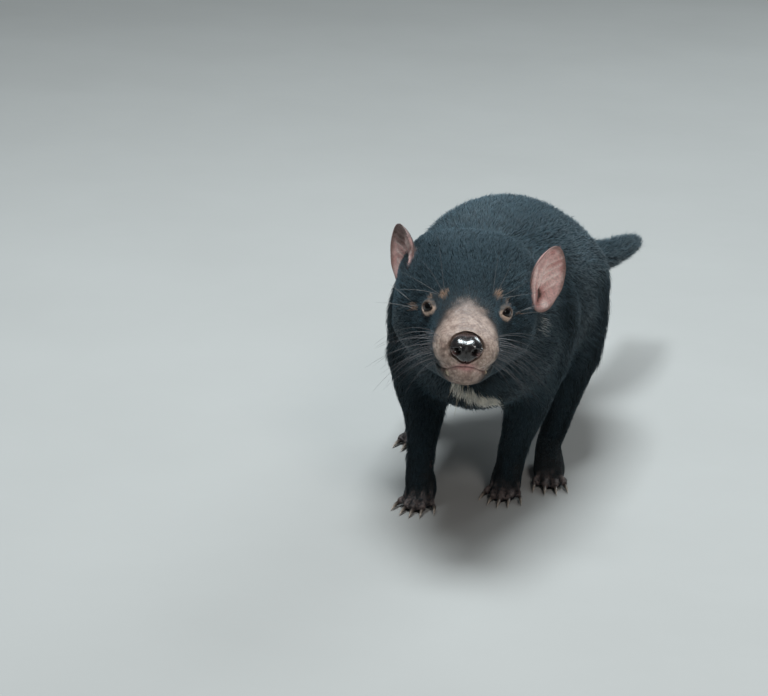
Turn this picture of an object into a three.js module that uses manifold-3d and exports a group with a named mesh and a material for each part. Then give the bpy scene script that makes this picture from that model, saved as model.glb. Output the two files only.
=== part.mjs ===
// A Tasmanian devil at life size: an adult female that stands in mid-step and looks up to her front left.
// Millimetres, +Z up. She faces -Y, her left side is +X, and the floor is Z = 0. The solids hold her true
// outline, out to the tips of the coat. Each body part is one closed solid, parted from its neighbours
// by thin cuts, and the whole is moved at the end so that its box is centred over the origin.
import * as THREE from "three";
import { mergeVertices } from "three/addons/utils/BufferGeometryUtils.js";
import Module from "manifold-3d";

const wasm = await Module();
wasm.setup();

// Driving dimensions
const GAP = 0.4; // clearance between neighbouring solids
const BACK_HEIGHT = 258;
const TRUNK_HALF_WIDTH = 84;
const BELLY_HEIGHT = 80;
const EYE_SPREAD = 30; // from the middle of the face to an eye
const EYE_RADIUS = 7;
const NOSE_HALF_WIDTH = 13.4;
const EAR_LENGTH = 58;
const EAR_WIDTH = 39;
const CLAW_LENGTH = 13;
const HEAD_YAW = 11.5; // degrees to her left
const HEAD_PITCH = 7.5; // degrees up
const HEAD_ROLL = 2; // degrees, left side down
const FINE = 0.25; // facets flatter than this are merged
const SOLE = -2.4; // pads reach this far below the floor before they are cut flat
const MOUTH_LEVEL = -39.5; // where the lips meet, in the head's frame
const UP = new THREE.Vector3(0, 0, 1);

// Colours
const COAT = { color: 0x14171a, roughness: 0.75 };
const BARE_SKIN = { color: 0x8d6c5f, roughness: 0.6 };
const PAW = { color: 0x241f1f, roughness: 0.7 };
const EAR_SKIN = { color: 0xa8716a, roughness: 0.6 };
const NOSE_PAD = { color: 0x0c0c0f, roughness: 0.25 };
const EYE = { color: 0x080606, roughness: 0.08 };
const CLAW = { color: 0xb9a797, roughness: 0.45 };

// The head's own frame: x to her left, y back, z up, its origin midway between the eyes.
const EYES_MIDDLE = new THREE.Vector3(13, -116, 207.5);
const headFrame = new THREE.Matrix4()
  .makeRotationFromEuler(
    new THREE.Euler(
      THREE.MathUtils.degToRad(-HEAD_PITCH),
      THREE.MathUtils.degToRad(HEAD_ROLL),
      THREE.MathUtils.degToRad(HEAD_YAW),
      "ZYX",
    ),
  )
  .setPosition(EYES_MIDDLE);

// Solids and geometries

function solid(geometry) {
  const bare = geometry.clone();
  for (const name of Object.keys(bare.attributes))
    if (name !== "position") bare.deleteAttribute(name);
  const merged = mergeVertices(bare, 1e-4);
  const corners = merged.index.array;
  const build = (flip) => {
    const triVerts = [];
    for (let i = 0; i < corners.length; i += 3) {
      const [a, b, c] = [corners[i], corners[i + 1], corners[i + 2]];
      if (a === b || b === c || a === c) continue;
      triVerts.push(...(flip ? [a, c, b] : [a, b, c]));
    }
    return new wasm.Manifold(
      new wasm.Mesh({
        numProp: 3,
        vertProperties: new Float32Array(merged.attributes.position.array),
        triVerts: new Uint32Array(triVerts),
      }),
    );
  };
  const made = build(false);
  return made.volume() < 0 ? build(true) : made;
}

function geometryOf(made) {
  const { vertProperties, triVerts } = made.getMesh();
  const geometry = new THREE.BufferGeometry();
  geometry.setAttribute("position", new THREE.BufferAttribute(new Float32Array(vertProperties), 3));
  geometry.setIndex(new THREE.BufferAttribute(new Uint32Array(triVerts), 1));
  return geometry;
}

// The same solid with its skin moved out, for cutting its place in a neighbour.
function grown(made, by = GAP + FINE) {
  const geometry = geometryOf(made);
  geometry.computeVertexNormals();
  const { position, normal } = geometry.attributes;
  for (let i = 0; i < position.count; i++)
    position.setXYZ(
      i,
      position.getX(i) + by * normal.getX(i),
      position.getY(i) + by * normal.getY(i),
      position.getZ(i) + by * normal.getZ(i),
    );
  return solid(geometry);
}

// The largest closed surface of a solid: it drops loose slivers and fills sealed hollows.
function outermost(made) {
  return made.decompose().sort((a, b) => b.volume() - a.volume())[0];
}

function joined(...solids) {
  return solids.reduce((a, b) => a.add(b));
}

// A box between two corners, turned and placed by a matrix, as a cutter.
function cutter(low, high, placed = new THREE.Matrix4()) {
  const size = new THREE.Vector3().subVectors(high, low);
  const geometry = new THREE.BoxGeometry(size.x, size.y, size.z);
  const middle = new THREE.Vector3().addVectors(low, high).multiplyScalar(0.5);
  return solid(geometry.translate(middle.x, middle.y, middle.z).applyMatrix4(placed));
}

// The half of space on one side of a point, as a very large box whose +Y face passes through it.
function halfSpace(point, direction) {
  const reach = 900;
  const placed = new THREE.Matrix4()
    .makeRotationFromQuaternion(
      new THREE.Quaternion().setFromUnitVectors(new THREE.Vector3(0, 1, 0), direction.clone().normalize()),
    )
    .setPosition(point);
  return cutter(new THREE.Vector3(-reach, -reach, -reach), new THREE.Vector3(reach, 0, reach), placed);
}

// Cuts a solid across at each plane and returns the slices in order, a gap apart.
function slices(whole, planes) {
  const parts = [];
  let rest = whole;
  for (const { point, direction } of planes) {
    const way = direction.clone().normalize();
    const near = halfSpace(point.clone().addScaledVector(way, -GAP / 2), way);
    const far = halfSpace(point.clone().addScaledVector(way, GAP / 2), way);
    parts.push(rest.intersect(near));
    rest = rest.subtract(far);
  }
  parts.push(rest);
  return parts;
}

// Values between stations, each a list of numbers with its place first, on a smooth curve through them.
function between(stations, place) {
  const last = stations.length - 1;
  let i = 0;
  while (i < last - 1 && place > stations[i + 1][0]) i++;
  const [a, b] = [stations[i], stations[i + 1]];
  const [before, after] = [stations[Math.max(0, i - 1)], stations[Math.min(last, i + 2)]];
  const span = b[0] - a[0];
  const t = THREE.MathUtils.clamp((place - a[0]) / span, 0, 1);
  return a.map((value, k) => {
    const slopeA = ((b[k] - before[k]) / (b[0] - before[0])) * span;
    const slopeB = ((after[k] - value) / (after[0] - a[0])) * span;
    const [t2, t3] = [t * t, t * t * t];
    return (
      (2 * t3 - 3 * t2 + 1) * value +
      (t3 - 2 * t2 + t) * slopeA +
      (3 * t2 - 2 * t3) * b[k] +
      (t3 - t2) * slopeB
    );
  });
}

// A closed cross-section: half its width, its height above and below its widest level, and how square it is.
function section({ side, up, down, square = 2 }, count) {
  const power = 2 / square;
  return Array.from({ length: count }, (_, i) => {
    const angle = (2 * Math.PI * i) / count;
    const [c, s] = [Math.cos(angle), Math.sin(angle)];
    return [
      side * Math.sign(c) * Math.abs(c) ** power,
      (s < 0 ? down : up) * Math.sign(s) * Math.abs(s) ** power,
    ];
  });
}

// Rings of points, each as long as the others, skinned into one closed surface with an end cap each.
function loft(rings) {
  const count = rings[0].length;
  const points = rings.flat();
  const index = [];
  for (let r = 0; r + 1 < rings.length; r++)
    for (let i = 0; i < count; i++) {
      const [a, b] = [r * count + i, r * count + ((i + 1) % count)];
      index.push(a, b, b + count, a, b + count, a + count);
    }
  for (const [first, turned] of [[0, true], [(rings.length - 1) * count, false]]) {
    const ring = points.slice(first, first + count);
    const middle = ring.reduce((sum, p) => sum.add(p), new THREE.Vector3()).divideScalar(count);
    points.push(middle);
    for (let i = 0; i < count; i++) {
      const [a, b] = [first + i, first + ((i + 1) % count)];
      index.push(...(turned ? [points.length - 1, b, a] : [points.length - 1, a, b]));
    }
  }
  const geometry = new THREE.BufferGeometry().setFromPoints(points);
  geometry.setIndex(index);
  return solid(geometry);
}

// A limb, toe, claw or tail: round sections across a smooth path, one for each of the path's points.
function limb(path, { steps, sides, across = new THREE.Vector3(1, 0, 0), square = 2 }) {
  const curve = new THREE.CatmullRomCurve3(path.map(([x, y, z]) => new THREE.Vector3(x, y, z)));
  const widths = path.map(([, , , side, deep], i) => [i / (path.length - 1), side, deep ?? side]);
  const rings = [];
  for (let r = 0; r <= steps; r++) {
    const t = r / steps;
    const [, side, deep] = between(widths, t);
    const middle = curve.getPoint(t);
    const along = curve.getTangent(t);
    const right = across.clone().addScaledVector(along, -across.dot(along)).normalize();
    const over = new THREE.Vector3().crossVectors(right, along);
    rings.push(
      section({ side, up: deep, down: deep, square }, sides).map(([u, v]) =>
        middle.clone().addScaledVector(right, u).addScaledVector(over, v),
      ),
    );
  }
  return loft(rings);
}

// Trunk. Each station: y, x of its middle, half width, top, widest level, bottom, how square.
const TRUNK = [
  [-62, 6, 16, 172, 142, 112, 2],
  [-54, 5, 38, 208, 150, 98, 2],
  [-38, 4, 57, 236, 158, 90, 2],
  [-12, 3, 72, 251, 160, 85, 2.1],
  [24, 3, 80, BACK_HEIGHT - 1, 160, BELLY_HEIGHT, 2.2],
  [66, 4, 82, BACK_HEIGHT, 158, BELLY_HEIGHT - 4, 2.2],
  [104, 6, TRUNK_HALF_WIDTH, BACK_HEIGHT - 3, 154, 77, 2.1],
  [140, 9, TRUNK_HALF_WIDTH, 246, 150, 81, 2.03],
  [180, 12, 84, 228, 148, 88, 2.02],
  [216, 16, 75, 206, 146, 96, 2],
  [248, 19, 61, 183, 144, 107, 2],
  [268, 21, 44, 167, 144, 120, 2],
  [281, 22, 20, 155, 146, 136, 2],
];

function trunk() {
  const rings = [];
  const steps = 14;
  for (let r = 0; r <= steps; r++) {
    // Rings stand closer at both ends, where the form turns quickly.
    const t = 0.5 - 0.5 * Math.cos(Math.PI * (r / steps));
    const place = THREE.MathUtils.lerp(TRUNK[0][0], TRUNK[TRUNK.length - 1][0], t * 0.6 + (r / steps) * 0.4);
    const [y, x, side, top, level, bottom, square] = between(TRUNK, place);
    rings.push(
      section({ side, up: top - level, down: level - bottom, square }, 20).map(
        ([u, v]) => new THREE.Vector3(x + u, y, level + v),
      ),
    );
  }
  return loft(rings);
}

// Neck. Each station: share of the way from skull to shoulders, half width, height above, depth below.
const NECK_FROM = new THREE.Vector3(0, 46, -6).applyMatrix4(headFrame);
const NECK_TO = new THREE.Vector3(3, 40, 170);
const NECK = [
  [0, 62, 56, 56],
  [0.35, 66, 62, 62],
  [0.7, 71, 72, 68],
  [1, 76, 80, 74],
];

function neck() {
  const right = new THREE.Vector3(1, 0, 0);
  const steps = 5;
  return loft(
    Array.from({ length: steps + 1 }, (_, r) => {
      const t = r / steps;
      const [, side, up, down] = between(NECK, t);
      const middle = NECK_FROM.clone().lerp(NECK_TO, t);
      return section({ side, up, down, square: 2.2 }, 20).map(([u, v]) =>
        middle.clone().addScaledVector(right, u).addScaledVector(UP, v),
      );
    }),
  );
}

// Head, in its own frame. Each station: y, half width, top, widest level, bottom, how square.
const SKULL = [
  [-59, 8, -16, -25, -33, 2],
  [-57.5, 14.5, -13, -26, -37, 2.1],
  [-54, 20.5, -9, -27, -40, 2.2],
  [-47, 25, -6, -27, -42, 2.3],
  [-39, 27, -2.5, -27, -43, 2.3],
  [-30, 27.5, 2, -26, -44, 2.25],
  [-20, 28.5, 9, -24, -45, 2.15],
  [-9.5, 31.5, 18, -18, -49, 2.1],
  [0, 38, 27, -12, -52, 2.15],
  [12, 48, 38, -8, -54, 2.3],
  [26, 57.5, 49, -5, -54, 2.45],
  [42, 64, 59, -2, -57, 2.6],
  [58, 66.5, 63, 0, -59, 2.7],
  [74, 65, 61, 0, -60, 2.5],
  [90, 58, 56, -3, -56, 2.2],
];
const LOWER_JAW = [
  [-52, 6, -39, -43, -49, 2],
  [-50, 11, -36, -43, -52, 2.1],
  [-46, 16, -34, -43, -55, 2.2],
  [-38, 19.5, -34, -43, -57, 2.2],
  [-26, 23.5, -34, -43, -59, 2.2],
  [-10, 27, -34, -43, -61.5, 2.15],
  [10, 34, -30, -42, -64, 2.1],
  [40, 44, -25, -42, -67, 2.1],
  [80, 50, -20, -40, -66, 2],
];
const EYE_PLACE = [EYE_SPREAD, -0.5, 0];

function headLoft(stations, { steps, sides }) {
  const [first, last] = [stations[0][0], stations[stations.length - 1][0]];
  return loft(
    Array.from({ length: steps + 1 }, (_, r) => {
      // Rings stand closer towards the nose.
      const t = r / steps;
      const place = THREE.MathUtils.lerp(first, last, 0.35 * t * t + 0.65 * t);
      const [y, side, top, level, bottom, square] = between(stations, place);
      return section({ side, up: top - level, down: level - bottom, square }, sides).map(([u, v]) =>
        new THREE.Vector3(u, y, level + v).applyMatrix4(headFrame),
      );
    }),
  );
}

function eyeball(side) {
  const [x, y, z] = EYE_PLACE;
  const ball = new THREE.SphereGeometry(EYE_RADIUS, 9, 7);
  return solid(ball.translate(side * x, y, z).applyMatrix4(headFrame));
}

// The nose pad: a rounded block, wide above and narrowing to the lip.
function nosePad() {
  const pad = [
    [-64.5, 5, -17, -22, -27],
    [-63.5, 9.5, -13.5, -22, -31],
    [-61, 12.3, -11.5, -22, -33.5],
    [-57, NOSE_HALF_WIDTH, -10.5, -22, -35],
    [-51, 11.5, -10.5, -22, -33],
  ];
  const steps = 5;
  return loft(
    Array.from({ length: steps + 1 }, (_, r) => {
      const place = THREE.MathUtils.lerp(pad[0][0], pad[4][0], r / steps);
      const [y, side, top, level, bottom] = between(pad, place);
      return section({ side, up: top - level, down: level - bottom, square: 2.1 }, 14).map(([u, v]) => {
        const narrowing = v < 0 ? 1 + (0.35 * v) / (level - bottom) : 1;
        return new THREE.Vector3(u * narrowing, y, level + v).applyMatrix4(headFrame);
      });
    }),
  );
}

// An ear: a cupped oval leaf. Its middle is in the head's frame; it is turned by so many degrees about
// the vertical, then leans outwards. Its hollow face looks along its own -y.
const EAR_THICKNESS = 2.8;
const EAR_CUP = 9;
const EARS = [
  { name: "left", middle: [64.5, 49, 24], turn: 43, lean: 7 },
  { name: "right", middle: [-53, 60, 32], turn: -62, lean: -6 },
];

function ear({ middle, turn, lean }) {
  const [rings, sides] = [3, 14];
  const frame = headFrame
    .clone()
    .multiply(new THREE.Matrix4().makeTranslation(...middle))
    .multiply(new THREE.Matrix4().makeRotationY(THREE.MathUtils.degToRad(lean)))
    .multiply(new THREE.Matrix4().makeRotationZ(THREE.MathUtils.degToRad(turn)));
  const points = [];
  const index = [];
  for (const face of [-1, 1])
    for (let r = 0; r <= rings; r++)
      for (let i = 0; i < sides; i++) {
        const angle = (2 * Math.PI * i) / sides;
        const reach = r / rings;
        // The leaf is widest below its middle, and thins towards the rim.
        const width = (EAR_WIDTH / 2) * (1 - 0.16 * Math.sin(angle) * reach);
        const thick = EAR_THICKNESS * (1 - 0.5 * reach ** 3);
        points.push(
          new THREE.Vector3(
            width * reach * Math.cos(angle),
            EAR_CUP * (0.6 - reach * reach) + (face * thick) / 2,
            (EAR_LENGTH / 2) * reach * Math.sin(angle),
          ).applyMatrix4(frame),
        );
      }
  const sheet = (rings + 1) * sides;
  for (let r = 0; r < rings; r++)
    for (let i = 0; i < sides; i++) {
      const [a, b] = [r * sides + i, r * sides + ((i + 1) % sides)];
      index.push(a, b, b + sides, a, b + sides, a + sides);
      index.push(sheet + a, sheet + b + sides, sheet + b, sheet + a, sheet + a + sides, sheet + b + sides);
    }
  const rim = rings * sides;
  for (let i = 0; i < sides; i++) {
    const [a, b] = [rim + i, rim + ((i + 1) % sides)];
    index.push(a, b, b + sheet, a, b + sheet, a + sheet);
  }
  const geometry = new THREE.BufferGeometry().setFromPoints(points);
  geometry.setIndex(index);
  return solid(geometry);
}

// Legs. Each point of a path: x, y, z, half width, half depth.
const LEGS = {
  foreleg_right: {
    path: [
      [-46, 20, 204, 20, 30],
      [-53, 16, 172, 31, 42],
      [-54, 20, 140, 30, 36],
      [-51, 13, 108, 28, 27],
      [-41, -8, 76, 20, 19],
      [-40, -24, 46, 13.2, 14],
      [-39, -30, 17, 13.5, 11.5],
    ],
    cuts: [2.4, 5.15],
    foot: { at: [-39, -63], heading: -3, kind: "fore", side: -1 },
  },
  foreleg_left: {
    path: [
      [50, 36, 204, 20, 30],
      [58, 32, 172, 31, 42],
      [55, 38, 140, 30, 36],
      [47, 38, 108, 27, 27],
      [43, 27, 76, 21, 22],
      [36, 21, 46, 14, 14.5],
      [32, 18, 17, 13.5, 11.5],
    ],
    cuts: [2.4, 5.15],
    foot: { at: [31, -15], heading: 1, kind: "fore", side: 1 },
  },
  hindleg_right: {
    path: [
      [-30, 204, 180, 18, 24],
      [-47, 190, 150, 33, 44],
      [-58, 164, 116, 31, 42],
      [-65, 156, 86, 22, 27],
      [-69, 166, 56, 14.5, 17],
      [-69, 171, 24, 12, 12],
    ],
    cuts: [2.4, 4.5],
    foot: { at: [-76, 101], heading: -6, kind: "hind", side: -1 },
  },
  hindleg_left: {
    path: [
      [38, 200, 182, 18, 24],
      [58, 178, 150, 35, 46],
      [67, 146, 116, 31, 42],
      [66, 118, 88, 24, 28],
      [64, 104, 58, 15.5, 18],
      [56, 99, 24, 12, 12],
    ],
    cuts: [2.4, 4.5],
    foot: { at: [69.5, 28], heading: 12, kind: "hind", side: 1 },
  },
};

// Feet, each in a frame with its toe tips at the origin, x to her left and y back along the foot.
// Each toe: x of its root, x and y of its tip, how thick. The fore foot's inner toe stands apart.
const FEET = {
  fore: {
    body: [
      [0, 2, 7, 12, 6.5],
      [0, 8, 10, 15, 10],
      [0, 17, 15, 14.5, 14],
      [0, 25, 19, 12.5, 14],
      [0, 30, 18, 7, 9],
    ],
    toes: [
      [-9.5, -17, 8, 4.2],
      [-5, -8.5, -3, 4.6],
      [0, -0.5, -6, 4.8],
      [5, 7.5, -3, 4.6],
      [9.5, 16.5, 6, 4.2],
    ],
  },
  hind: {
    body: [
      [0, 1, 7, 12, 6.5],
      [0, 12, 11, 15.5, 11],
      [0, 30, 16, 13.5, 14],
      [0, 52, 21, 12.5, 17],
      [0, 64, 20, 10, 15],
      [0, 72, 17, 6, 9],
    ],
    toes: [
      [-9.5, -14, 3, 4.5],
      [-3.2, -4.8, -4, 4.9],
      [3.2, 4.8, -4, 4.9],
      [9.5, 14, 3, 4.5],
    ],
  },
};
const TOE_END = 9; // a toe's flat end, forward of the foot's body
const TOE_END_HEIGHT = 5.8;
const TOES_BACK = 18; // from the frame's origin, at the claws' tips, back to the front of the foot's body

function footFrame({ at: [x, y], heading }) {
  return new THREE.Matrix4().makeRotationZ(THREE.MathUtils.degToRad(heading)).setPosition(x, y, 0);
}

function foot(placing) {
  const { body, toes } = FEET[placing.kind];
  const frame = footFrame(placing);
  const shape = (path, options) => {
    const placed = path.map(([x, y, z, ...sizes]) => {
      const p = new THREE.Vector3(x, y + TOES_BACK, z + SOLE).applyMatrix4(frame);
      return [p.x, p.y, p.z, ...sizes];
    });
    return limb(placed, options);
  };
  const made = [shape(body, { steps: 4, sides: 10, square: 2.8 })];
  for (const [root, tipX, tipY, thick] of toes)
    made.push(
      shape(
        [
          [root * placing.side, 5, 9, thick],
          [(root + tipX) * 0.5 * placing.side, -2 + tipY * 0.5, 8.4, thick * 1.08],
          [tipX * placing.side, -6 + tipY, 6.2, thick],
          [tipX * placing.side, -TOE_END + tipY, TOE_END_HEIGHT, thick * 0.6],
        ],
        { steps: 2, sides: 6 },
      ),
    );
  return joined(...made).trimByPlane([0, 0, 1], 0);
}

// Claws: curved cones that stand a gap ahead of the toes' flat ends and stop just over the floor.
function claws(placing) {
  const { toes } = FEET[placing.kind];
  const frame = footFrame(placing);
  return toes.map(([root, tipX, tipY]) => {
    const out = (tipX - root) * 0.35 * placing.side;
    const path = [
      [0, -2 * GAP, 0, 2.3],
      [0.15 * out, -0.27 * CLAW_LENGTH, -0.1, 2.1],
      [0.5 * out, -0.66 * CLAW_LENGTH, -0.8, 1.4],
      [out, -CLAW_LENGTH, -2.6, 0.35],
    ].map(([x, y, z, thick]) => {
      const p = new THREE.Vector3(
        tipX * placing.side + x,
        -TOE_END + tipY + y + TOES_BACK,
        TOE_END_HEIGHT + z + SOLE,
      ).applyMatrix4(frame);
      return [p.x, p.y, p.z, thick];
    });
    return limb(path, { steps: 3, sides: 5 });
  });
}

// Tail. Each point: x, y, z, radius.
const TAIL = [
  [20, 248, 146, 26],
  [30, 276, 145, 23],
  [46, 305, 141, 19],
  [60, 345, 136, 15.5],
  [69, 385, 131, 13],
  [74, 425, 126, 11],
  [76, 465, 119, 8],
  [75, 500, 112, 2.5],
];

const group = new THREE.Group();

function show(name, made, look) {
  const shape = geometryOf(outermost(made.simplify(FINE)));
  const mesh = new THREE.Mesh(shape, new THREE.MeshStandardMaterial({ metalness: 0, ...look }));
  mesh.name = name;
  group.add(mesh);
}

// Legs, feet and claws
const legs = {};
for (const [name, { path, cuts, foot: placing }] of Object.entries(LEGS)) {
  const whole = limb(path, { steps: 9, sides: 12, square: 2.1 });
  const paw = foot(placing);
  const curve = new THREE.CatmullRomCurve3(path.map(([x, y, z]) => new THREE.Vector3(x, y, z)));
  const planes = cuts.map((station) => {
    const t = station / (path.length - 1);
    return { point: curve.getPoint(t), direction: curve.getTangent(t) };
  });
  const [upper, lower, ankle] = slices(whole, planes);
  // The ankle's stub belongs to the foot.
  const pawWhole = paw.subtract(halfSpaceAbove(planes[1])).add(ankle);
  const nails = claws(placing);
  legs[name] = { whole, upper, lower };
  const [kind, side] = name.split("_");
  const stem = kind === "foreleg" ? "fore" : "hind";
  show(`${kind}_upper_${side}`, upper, COAT);
  show(`${kind}_lower_${side}`, lower.subtract(grown(pawWhole)), COAT);
  show(`${stem}foot_${side}`, pawWhole, PAW);
  nails.forEach((nail, i) => show(`claw_${stem}_${side}_${i + 1}`, nail, CLAW));
}

// What lies above a leg's lower cut, which a foot leaves to the leg.
function halfSpaceAbove({ point, direction }) {
  return halfSpace(point.clone().addScaledVector(direction.clone().normalize(), GAP / 2), direction);
}

// Tail, in two lengths
const tailWhole = limb(TAIL, { steps: 9, sides: 10 });
const [tailBase, tailTip] = slices(tailWhole, [
  { point: new THREE.Vector3(69, 385, 131), direction: new THREE.Vector3(7, 40, -8) },
]);

// Head, neck and trunk are modelled whole, and then parted
let body = joined(
  trunk(),
  neck(),
  headLoft(SKULL, { steps: 17, sides: 20 }),
  headLoft(LOWER_JAW, { steps: 8, sides: 14 }),
);
for (const { whole } of Object.values(legs)) body = body.subtract(grown(whole));
body = body.subtract(grown(tailBase));
const headBack = (y) => new THREE.Vector3(0, y, 0).applyMatrix4(headFrame);
const backward = new THREE.Vector3(0, 1, 0);
const [head, neckPart, chest, belly, rump] = slices(body, [
  { point: headBack(66), direction: new THREE.Vector3(-0.12, 1, -0.26) },
  { point: new THREE.Vector3(0, -8, 160), direction: new THREE.Vector3(0, 1, -0.15) },
  { point: new THREE.Vector3(0, 88, 160), direction: backward },
  { point: new THREE.Vector3(0, 176, 150), direction: backward },
]);

// The face
const eyes = { left: eyeball(1), right: eyeball(-1) };
const pad = nosePad();
const mouth = cutter(
  new THREE.Vector3(-60, -90, -90),
  new THREE.Vector3(60, -20, MOUTH_LEVEL),
  headFrame,
);
const face = head.subtract(grown(eyes.left)).subtract(grown(eyes.right)).subtract(grown(pad));
const jaw = face.intersect(mouth);
const skull = face.subtract(grown(mouth));

show("head", skull, COAT);
show("lower_jaw", jaw, BARE_SKIN);
show("nose", pad, NOSE_PAD);
show("eye_left", eyes.left, EYE);
show("eye_right", eyes.right, EYE);
for (const made of EARS) show(`ear_${made.name}`, ear(made).subtract(grown(body)), EAR_SKIN);
show("neck", neckPart, COAT);
show("chest", chest, COAT);
show("belly", belly, COAT);
show("rump", rump, COAT);
show("tail_base", tailBase, COAT);
show("tail_tip", tailTip, COAT);

// Centre the whole over the origin, with the floor at Z = 0.
const box = new THREE.Box3().setFromObject(group);
group.position.set(-(box.min.x + box.max.x) / 2, -(box.min.y + box.max.y) / 2, 0);

export default group;
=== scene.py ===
# A Tasmanian devil at life size, as a still model. One skin with a sculpted face lies inside the solids by
# the coat's depth. Over it lies a coat of solid mesh tufts, and the eyes, nose pad, claws and whiskers are
# pieces of their own. Sizes are in millimetres, and MM turns them into Blender's metres.
import math

import bmesh
import bpy
import numpy as np
from mathutils import Matrix, Vector
from mathutils.bvhtree import BVHTree


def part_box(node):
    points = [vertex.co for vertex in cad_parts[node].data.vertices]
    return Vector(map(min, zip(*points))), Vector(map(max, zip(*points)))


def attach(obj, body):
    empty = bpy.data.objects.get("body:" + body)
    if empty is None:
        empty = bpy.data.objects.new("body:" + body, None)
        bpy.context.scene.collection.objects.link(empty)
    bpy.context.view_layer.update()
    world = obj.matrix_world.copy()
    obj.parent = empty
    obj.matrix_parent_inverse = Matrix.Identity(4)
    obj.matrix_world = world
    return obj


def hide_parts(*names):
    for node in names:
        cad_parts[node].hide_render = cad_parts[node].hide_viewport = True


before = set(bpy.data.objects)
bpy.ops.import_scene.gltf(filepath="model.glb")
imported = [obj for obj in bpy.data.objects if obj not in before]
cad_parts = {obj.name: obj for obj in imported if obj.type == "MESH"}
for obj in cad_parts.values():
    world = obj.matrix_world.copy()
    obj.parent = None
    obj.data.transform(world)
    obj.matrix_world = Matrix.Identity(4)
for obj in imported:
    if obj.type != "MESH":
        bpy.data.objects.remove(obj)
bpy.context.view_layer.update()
NODES = sorted(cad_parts)
MM = 0.001

# The head's own frame: x to her left, y back, z up, in millimetres, its origin between the eyes
HEAD_YAW = 11.5
HEAD_PITCH = 7.5
HEAD_ROLL = 2.0
EYE_X = 30.0
EYE_Y = -0.5
EYE_RADIUS = 6.9
EYE_WAY = (0.66, -0.72, 0.2)  # where her left eye looks
NOSE = (0.0, -55.0, -22.0)

# Camera, measured from the point between the eyes
CAMERA_OFFSET = (410.4, -2257.8, 687.6)
CAMERA_AZIMUTH = 12.0
CAMERA_ELEVATION = 17.5
CAMERA_ROLL = 2.0
LENS = 135.0

# Floor and light, in metres
FLOOR_HALF = 12.0
LIT = (0, -0.1, 0.15)

# Skin
VOXEL = 1.5
WELD = 0.01  # corners of a solid closer than this are one
GROW = 0.5  # closes the thin cuts between the solids
SMOOTH_ROUNDS = 110
SMOOTH_MOST = 0.6  # of the way to its neighbours' middle that a point goes in one round
THIN_PARTS = ("tail", "forefoot", "hindfoot", "foreleg_lower", "hindleg_lower")
THIN_SHARE = 0.3  # of a thin part's thickness that the coat may take
BODY_SHARE = 0.13  # of the covered skin's facets that are kept
FLOOR_BAND = 6.0
SOLE = 1.0  # no tufts grow lower than this

# Coat
COAT_TRIANGLES = 1430000
MOST_TRIANGLES = 195000  # in one piece of the coat
SHORT_HAIR = 7.0  # about here, curved tufts of ten triangles give way to straight spikes of four
TUFT_PATCH = 0.003  # a tuft's share of its piece's map
UPRIGHT_SHARE = 0.04  # guard hairs that stand proud of the rest
CLUMP = 5.5  # how wide a clump of tufts is
ROOT_DEPTH = 0.35  # of a tuft's root below the skin
MOST_SAG = 0.45  # of a tuft's length
TAIL_FULLNESS = 1.5  # the tail's hair stands off further than its depth

LOOKS = {}  # this script's own materials by name


def unit(vectors):
    return vectors / (np.linalg.norm(vectors, axis=-1, keepdims=True) + 1e-12)


def ease(low, high, value):
    """From 0 at low to 1 at high, level at both ends."""
    t = np.clip((value - low) / (high - low), 0, 1)
    return t * t * (3 - 2 * t)


def bell(distance, width):
    return np.exp(-((distance / width) ** 2))


def mix(a, b, share):
    return a + (b - a) * share


def into(place, points):
    """Points of the row, in that frame's own millimetres."""
    back = np.linalg.inv(place)
    return points @ back[:3, :3].T + back[:3, 3]


def out_of(place, points):
    return points @ place[:3, :3].T + place[:3, 3]


def from_eyes(points):
    """Points of the row in millimetres from the point between the eyes, turned as the row is."""
    return (points - np.array(EYES)) / MM


def turned(place, vectors):
    """Directions in that frame, as directions in the row."""
    return unit(vectors @ place[:3, :3].T)


def wobble(points, size, seed):
    """Smooth, uneven values from about -1 to 1 that change over about that size."""
    chance = np.random.default_rng(seed)
    ways = chance.normal(size=(9, 3)) * 2.2 / size
    phases = chance.uniform(0, 2 * math.pi, 9)
    return np.sin(points @ ways.T + phases).sum(1) / 3


def linear(red, green, blue):
    """A screen colour, each part from 0 to 255, as the light it stands for."""
    parts = np.array([red, green, blue]) / 255
    return np.where(parts <= 0.04045, parts / 12.92, ((parts + 0.055) / 1.055) ** 2.4)


def rotation(axis, degrees):
    return Matrix.Rotation(math.radians(degrees), 4, axis)


def middle(node):
    low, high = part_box(node)
    return (low + high) / 2


EYES = (middle("eye_left") + middle("eye_right")) / 2
HEAD = np.array(
    Matrix.Translation(EYES)
    @ rotation("Z", HEAD_YAW)
    @ rotation("Y", HEAD_ROLL)
    @ rotation("X", -HEAD_PITCH)
    @ Matrix.Translation((0, -EYE_Y * MM, 0))
    @ Matrix.Scale(MM, 4)
)

# Meshes as arrays


def points_of(mesh):
    out = np.empty(len(mesh.vertices) * 3, np.float32)
    mesh.vertices.foreach_get("co", out)
    return out.reshape(-1, 3).astype(float)


def normals_of(mesh):
    out = np.empty(len(mesh.vertices) * 3, np.float32)
    mesh.vertex_normals.foreach_get("vector", out)
    return out.reshape(-1, 3).astype(float)


def edges_of(mesh):
    out = np.empty(len(mesh.edges) * 2, np.int32)
    mesh.edges.foreach_get("vertices", out)
    return out.reshape(-1, 2)


def triangles_of(mesh):
    mesh.calc_loop_triangles()
    out = np.empty(len(mesh.loop_triangles) * 3, np.int32)
    mesh.loop_triangles.foreach_get("vertices", out)
    return out.reshape(-1, 3)


def put_points(mesh, points):
    mesh.vertices.foreach_set("co", points.astype(np.float32).ravel())
    mesh.update()


def new_object(name, mesh):
    made = bpy.data.objects.new(name, mesh)
    bpy.context.scene.collection.objects.link(made)
    return made


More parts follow.
